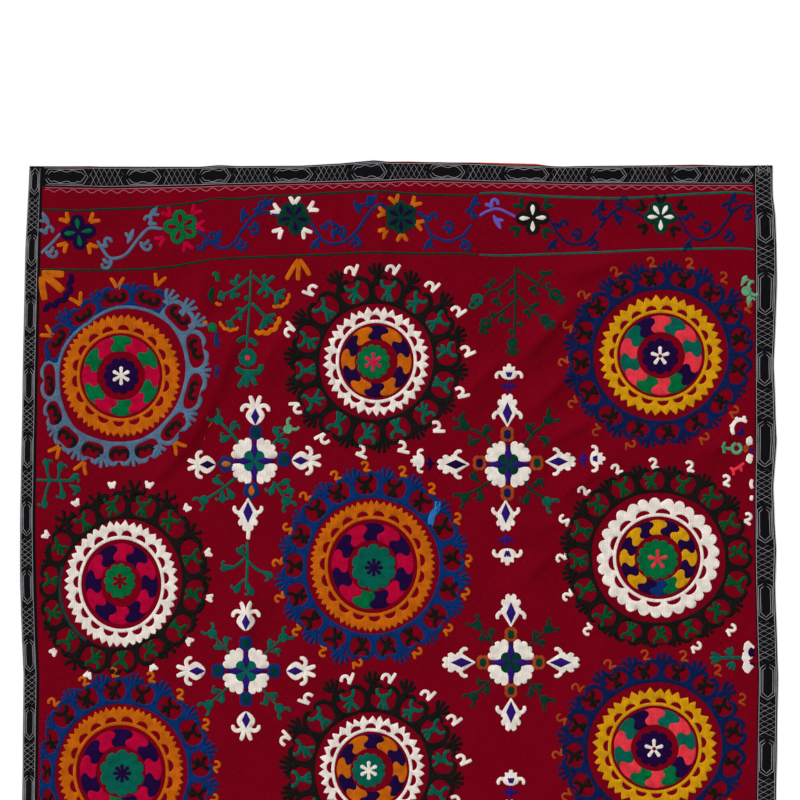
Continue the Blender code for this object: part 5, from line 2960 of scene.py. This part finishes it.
def arms(column: float, row: float, reach: float, first: Thread, thin: Thread) -> Spray:
    """Arms of a cross: on each side a small flower and a palmette, and sprigs between them.

    Args:
        column: of the cross's middle.
        row: of the cross's middle.
        reach: distance of the palmettes in squares.
        first: colour of the small flowers.
        thin: colour of the sprigs.

    Returns:
        The spray.
    """
    stems, marks = [], []
    for angle in (0, 90, 180, 270):
        way = direction(angle)
        near, far = 28.0, reach
        marks.append(Mark(K.SQUARE, column + way[0] * near, row - way[1] * near, angle, 0.88, first, T.DARK_GREEN))
        kind = K.PALMETTE if first is T.BLUE else K.CROWN
        marks.append(Mark(kind, column + way[0] * far, row - way[1] * far, angle, 0.98, T.WHITE, T.VIOLET))
        slant = direction(angle + 42)
        ends = [(column + slant[0] * d, row - slant[1] * d) for d in (22.0, 36.0, 50.0)]
        stems.append(row_of(thin, 2.0, *ends))
        marks.append(Mark(K.POD, *ends[2], angle + 42, 0.85, thin))
        for side, turn in ((-5.0, -35.0), (5.0, 35.0)):
            aside = direction(angle + 42 + 90)
            spot = (ends[1][0] + aside[0] * side, ends[1][1] - aside[1] * side)
            marks.append(Mark(K.LEAF, *spot, angle + 42 + turn, 0.85, thin))
    return Spray("arms", tuple(stems), tuple(marks))


CROSSES = (
    CROSS_1,
    CROSS_2,
    Cross("cross_2_1", 246.0, 671.0, arms(246.0, 671.0, 50.0, T.BLUE, T.TEAL)),
    Cross("cross_2_2", 511.0, 662.5, arms(511.0, 662.5, 52.0, T.RUST, T.DARK_GREEN), T.DARK_GREEN),
    CROSS_1.moved("cross_3_1", -4.0, 407.0),
    CROSS_2.moved("cross_3_2", 2.0, 406.0),
)


TREE_1 = Spray(
    "tree_1",
    strokes(T.TEAL, 2.0, ((251, 269), (250, 300), (247.7, 332), (247, 350)))
    + strokes(
        T.TEAL, 3.2, ((250, 277), (241, 285), (231.5, 291.4), (223, 295)), ((252, 275), (265, 285.7), (276, 294.5)),
        ((250, 304), (241.5, 312), (234, 318), (231, 322)), ((251.5, 302.6), (258, 309), (266, 317.5)),
        ((237, 285), (236.5, 279), (238, 275.5), (240.6, 278)), ((233.5, 292), (237, 296.6), (239.8, 293)),
        ((266, 286), (265, 279.6), (263.2, 276.6), (266.5, 275)),
        ((265, 287), (267.8, 293), (266, 296.6), (263, 295.5)), ((241.5, 311.5), (240, 308.6), (235, 309.6)),
    )
    + strokes(
        T.TEAL, 4.2, ((237, 285), (229.6, 280.6)), ((233.4, 291.4), (231.7, 299.6)), ((267, 283), (274.4, 275.6)),
        ((265, 287), (257.4, 294.6)), ((248.6, 296), (244.4, 299.8)), ((241, 313), (240, 320.4)),
        ((223, 295), (217, 298)), ((223, 295), (219, 290.8)), ((223, 295), (222.4, 301)),
        ((276, 294), (277, 305.4)), ((276, 294), (286, 289.8)), ((276, 294), (284.8, 298.4)),
        ((230.6, 322.6), (225.4, 322)), ((230.6, 322.6), (233.6, 328)), ((230.6, 322.6), (228, 327.6)),
        ((266, 317), (260, 330.4)), ((266, 317), (265.4, 328)), ((266, 317), (273.6, 323.4)),
        ((266, 317), (276.4, 314.6)),
    )
    + strokes(T.TEAL, 5.2, ((247, 337), (242, 339), (237.4, 342.4)), ((248.4, 339), (253, 341), (257.4, 345.4)))
    + strokes(T.TEAL, 5.6, ((237, 366), (239.6, 371), (249, 372.4), (259, 371.6), (261.6, 364)))
    + strokes(
        T.TEAL, 4.8, ((248.6, 372), (238.2, 387.6)), ((248.6, 372), (246, 387.6)), ((249, 372), (256.4, 385.6)),
    )
    + strokes(T.GREEN, 4.2, ((212, 274.6), (217, 274), (217.6, 282)))
    + strokes(T.DARK_GREEN, 4.0, ((214, 287), (210, 295), (213.4, 302.4)), ((210, 295), (214.4, 292)))
    + strokes(T.ORANGE, 3.4, ((215, 302), (219.4, 305), (222, 303)))
    + strokes(
        T.BLUE, 3.4, ((217.7, 331), (216, 338), (216.5, 344), (219.4, 348)), ((216, 341), (221.6, 341)),
        ((215.6, 365.6), (218.6, 369), (216, 373), (218.4, 378)),
    ),
    (
        Mark(K.ROUND, 247.6, 357.6, 90, 1.5, T.TEAL, T.CORAL),
        *alike(
            K.SCALLOPS, T.ORANGE, None, (281.4, 300.6, -52, 1.1), (268.0, 325.4, -60, 1.5),
            (229.0, 325.4, -108, 1.05),
        ),
        Mark(K.ROUND, 212.4, 327.4, 90, 0.75, T.GREEN),
        Mark(K.ROUND, 205.4, 323.4, 90, 0.45, T.ORANGE),
    ),
)

TREE_2 = Spray(
    "tree_2",
    strokes(
        T.DARK_GREEN, 2.2, ((515, 266), (515.8, 294), (514.7, 324), (514, 340)),
        ((515, 274.8), (505.8, 283), (499, 288.7), (490.2, 291.4), (483.6, 296.4)), ((500, 289), (499.7, 298)),
        ((515.8, 269.8), (523.6, 273.7), (537, 283.7), (545.8, 288), (551, 292)), ((538, 284), (543.6, 275.6)),
        ((515.8, 294), (530, 307.6), (540.2, 316.4)), ((515.2, 301), (503.6, 310.3), (494.7, 316.4), (491, 320)),
        ((503.4, 310.6), (502.6, 316)),
    )
    + strokes(
        T.DARK_GREEN, 3.1, ((490, 288.6), (490.6, 282.6), (493.6, 279.6), (496, 282.8)),
        ((498, 299.6), (498.4, 304.6), (502.4, 305)), ((534.7, 288.7), (535.4, 294), (540.6, 294)),
        ((528.8, 311.4), (529, 316.4), (532.8, 317)), ((502.8, 317), (506.3, 322), (509.9, 320), (509.7, 316.6)),
        ((516, 324), (521, 323.6), (522.6, 327.6)), ((484.4, 330), (485, 333), (489, 332.4)),
        ((550, 324), (553.8, 329.4)),
    )
    + strokes(
        T.DARK_GREEN, 4.4, ((489.8, 288.2), (483.6, 285)), ((499, 298.6), (491.4, 302.4)),
        ((514, 288.6), (508.8, 295.6)), ((539.4, 271.2), (544.7, 273.8), (552.8, 271.8)),
        ((537, 286.8), (528.2, 290)), ((545.6, 286), (550.6, 282.8)), ((565, 297.4), (558.4, 305)),
        ((531.2, 307.6), (539.4, 303.4)), ((530.4, 310.8), (522.6, 312)), ((544.4, 329.4), (555, 320.6)),
        ((495, 315.4), (489.4, 312.2)), ((502.4, 315), (498.8, 323.4)), ((483, 328), (479.4, 333.4)),
        ((513.8, 329.6), (508.2, 333.2)), ((505.6, 349.6), (512.4, 353), (520, 350.6)), ((512.4, 347), (512, 356)),
    ),
    (
        Mark(K.ROUND, 555.2, 294.8, 0, 1.05, T.DARK_GREEN, T.CRIMSON),
        Mark(K.ROUND, 544.7, 319.8, 0, 0.86, T.DARK_GREEN),
        Mark(K.ROUND, 485.8, 323.7, 0, 1.0, T.DARK_GREEN, T.CRIMSON),
        Mark(K.ROUND, 512.4, 343.2, 0, 0.9, T.DARK_GREEN),
        Mark(K.ROUND, 477.2, 299.6, 0, 1.0, T.TEAL, T.CRIMSON),
        Mark(K.CURL, 473.6, 308.4, 200, 0.7, T.TEAL),
    ),
)

SPRIGS = Spray(
    "sprigs",
    (
        *strokes(
            T.ORANGE, 4.6, ((299, 259), (293, 268), (286, 280)), ((299, 259), (298.6, 270), (298, 281)),
            ((299, 259), (305, 267), (310, 276)),
        ),
        *strokes(
            T.ORANGE, 7.4, ((41.5, 273.4), (50, 273.6), (64.5, 274.4)), ((43, 274.6), (54, 283), (63.4, 291.4)),
        ),
        row_of(T.ORANGE, 6.8, (41.8, 276), (42.6, 288), (45, 300.4)),
        row_of(
            T.DARK_VIOLET, 5.4, (70, 273), (72, 280), (68.5, 284), (71, 291), (66, 294), (65, 300), (58, 300.6),
            (55, 306), (49, 304.6), (46, 309.5), (42.4, 309.5),
        ),
        row_of(T.TEAL, 2.6, (36, 480), (56, 480.4), (74, 480.7)),
        *strokes(
            T.TEAL, 2.4, ((50, 480), (47, 471), (46, 464)), ((58, 480), (60, 468)),
            ((50, 481), (46, 492), (45, 502)), ((60, 481), (63, 493)),
        ),
        row_of(T.TEAL, 3.0, (714, 658), (735, 657.6), (743, 658)),
        row_of(T.WHITE, 3.8, (733, 434.6), (731.6, 428), (735, 421.6), (741, 419.6), (747, 422)),
        *strokes(
            T.WHITE, 3.6, ((733.4, 428), (729.4, 424.4)), ((738, 421.4), (735.6, 416.6)),
            ((744, 420.6), (744, 415.4)),
        ),
        row_of(T.VIOLET, 3.4, (735.6, 434), (740, 433), (745.6, 434.4)),
        row_of(T.VIOLET, 4.0, (741, 433), (741.6, 426.6)),
        *strokes(
            T.LIGHT_GREEN, 3.2, ((721, 446), (727, 448.4), (733, 448.6)),
            ((724, 441.4), (723.4, 448), (724.4, 454)),
        ),
        row_of(
            T.LIGHT_GREEN, 3.4, (736.6, 442.6), (732.4, 446), (733, 451.4), (738, 452.8), (741.4, 448), (737, 443),
        ),
        row_of(T.RUST, 4.6, (743.6, 445.6), (747.4, 448.4), (743.6, 452)),
        row_of(T.WHITE, 6.4, (752.4, 438.4), (748.8, 440.4), (750.6, 445.4)),
        row_of(T.VIOLET, 3.6, (750.6, 447.4), (752.6, 452)),
        row_of(T.WHITE, 6.4, (751.4, 454), (748.8, 459.6), (752.4, 461.4)),
        *strokes(
            T.CORAL, 3.2, ((744.8, 462.6), (739, 467), (731, 471.4)), ((729.4, 467.4), (733.4, 470), (733.6, 476)),
        ),
        row_of(T.CORAL, 3.0, (740.4, 466.4), (741.8, 472.4)),
        *strokes(T.WHITE, 3.6, ((752.4, 479), (751, 484), (752.6, 489)), ((752, 495), (751, 501))),
        *strokes(
            T.WHITE, 11.0, ((752, 643.4), (748.4, 647.6), (751.4, 651)),
            ((750.6, 653), (746.8, 656.8), (749.4, 661)), ((751, 662.6), (747.6, 666.6), (751.6, 670.6)),
        ),
        Stem(T.DARK_VIOLET, 5.6, ((753.6, 647), (750.6, 652.6), (753.4, 657)), 1),
        Stem(T.DARK_VIOLET, 5.0, ((753, 662), (751, 666.4)), 1),
        Stem(T.BRIGHT_BLUE, 6.4, ((437.6, 499.6), (437.4, 509), (432.4, 515), (430.4, 526)), 1),
    ),
    (
        Mark(K.CURL, 473, 303, 60, 0.9, T.DARK_GREEN),
        Mark(K.POD, 462, 421, 120, 0.7, T.DARK_GREEN),
        Mark(K.POD, 746.5, 291, 20, 0.9, T.LIGHT_GREEN),
        *alike(K.FOOT, T.TEAL, None, (716, 658, 180, 1.0), (730, 652, 120, 0.8), (732, 665, -120, 0.8)),
    )
    + leaves(
        T.TEAL, 1.0, (46, 464, 100), (60, 467, 80), (74, 477, 30), (45, 503, -90), (63, 494, -80), (76, 488, -30),
    )
    + leaves(T.LIGHT_GREEN, 0.9, (744, 280, 60), (749, 300, 80)),
)

SPRAYS = (
    BORDER_LINES,
    BAND,
    TREE_1,
    TREE_2,
    SPRIGS,
    BORDER_LINES.mirrored("border_lines_bottom", 1343.0),
    BAND.mirrored("border_flowers_bottom", 1343.0),
    TREE_1.mirrored("tree_3", 1343.0),
    TREE_2.mirrored("tree_4", 1343.0),
)


@dataclass
class Room:
    """The pale floor, the soft light and the camera straight above."""

    camera_place: tuple[float, float] = (0.002, 0.5404)
    view_size: float = 1.6
    lens: float = 100.0
    sensor: float = 36.0
    floor_half: float = 6.0
    floor_glow: float = 0.14
    sky: float = 0.45
    sun: float = 2.8
    sun_angle: float = 12.0
    sun_from: tuple[float, float, float] = (-0.95, 0.80, 0.97)

    def build(self) -> None:
        """Builds the stage."""
        scene = bpy.context.scene
        shape = bmesh.new()
        bmesh.ops.create_grid(shape, x_segments=1, y_segments=1, size=self.floor_half)
        mesh = bpy.data.meshes.new("floor")
        shape.to_mesh(mesh)
        shape.free()
        # Matt painted studio floor: even and almost white, so that it only takes the soft shadow.
        paint = Finish("pale_floor", "#f4f3f2", 0.9, 1.0, 1.0, 1.0).start()[0]
        shader = paint.node_tree.nodes["Principled BSDF"]
        shader.inputs["Emission Color"].default_value = (1.0, 1.0, 1.0, 1.0)
        shader.inputs["Emission Strength"].default_value = self.floor_glow
        mesh.materials.append(paint)
        floor = bpy.data.objects.new("floor", mesh)
        scene.collection.objects.link(floor)
        world = bpy.data.worlds.new("studio")
        world.use_nodes = True
        world.node_tree.nodes["Background"].inputs[0].default_value = (1.0, 1.0, 1.0, 1.0)
        world.node_tree.nodes["Background"].inputs[1].default_value = self.sky
        scene.world = world
        sun = bpy.data.lights.new("window_light", "SUN")
        sun.energy = self.sun
        sun.angle = math.radians(self.sun_angle)
        lamp = bpy.data.objects.new("window_light", sun)
        lamp.rotation_euler = Vector(self.sun_from).to_track_quat("Z", "Y").to_euler()
        scene.collection.objects.link(lamp)
        data = bpy.data.cameras.new("camera")
        data.lens = self.lens
        data.sensor_width = self.sensor
        camera = bpy.data.objects.new("camera", data)
        height = self.view_size * self.lens / self.sensor
        camera.location = (*self.camera_place, height + CLOTH_TOP)
        scene.collection.objects.link(camera)
        scene.camera = camera
        scene.view_settings.view_transform = "Standard"


def main() -> None:
    """Builds the cloth and all its embroidery, in order."""
    logging.basicConfig(level=logging.INFO, format="%(message)s")
    Sheets().build()
    Edging().build()
    for medallion in MEDALLIONS:
        medallion.build()
    for cross in CROSSES:
        cross.build()
    for spray in SPRAYS:
        spray.build()
    Room().build()


if __name__ == "__main__":
    main()
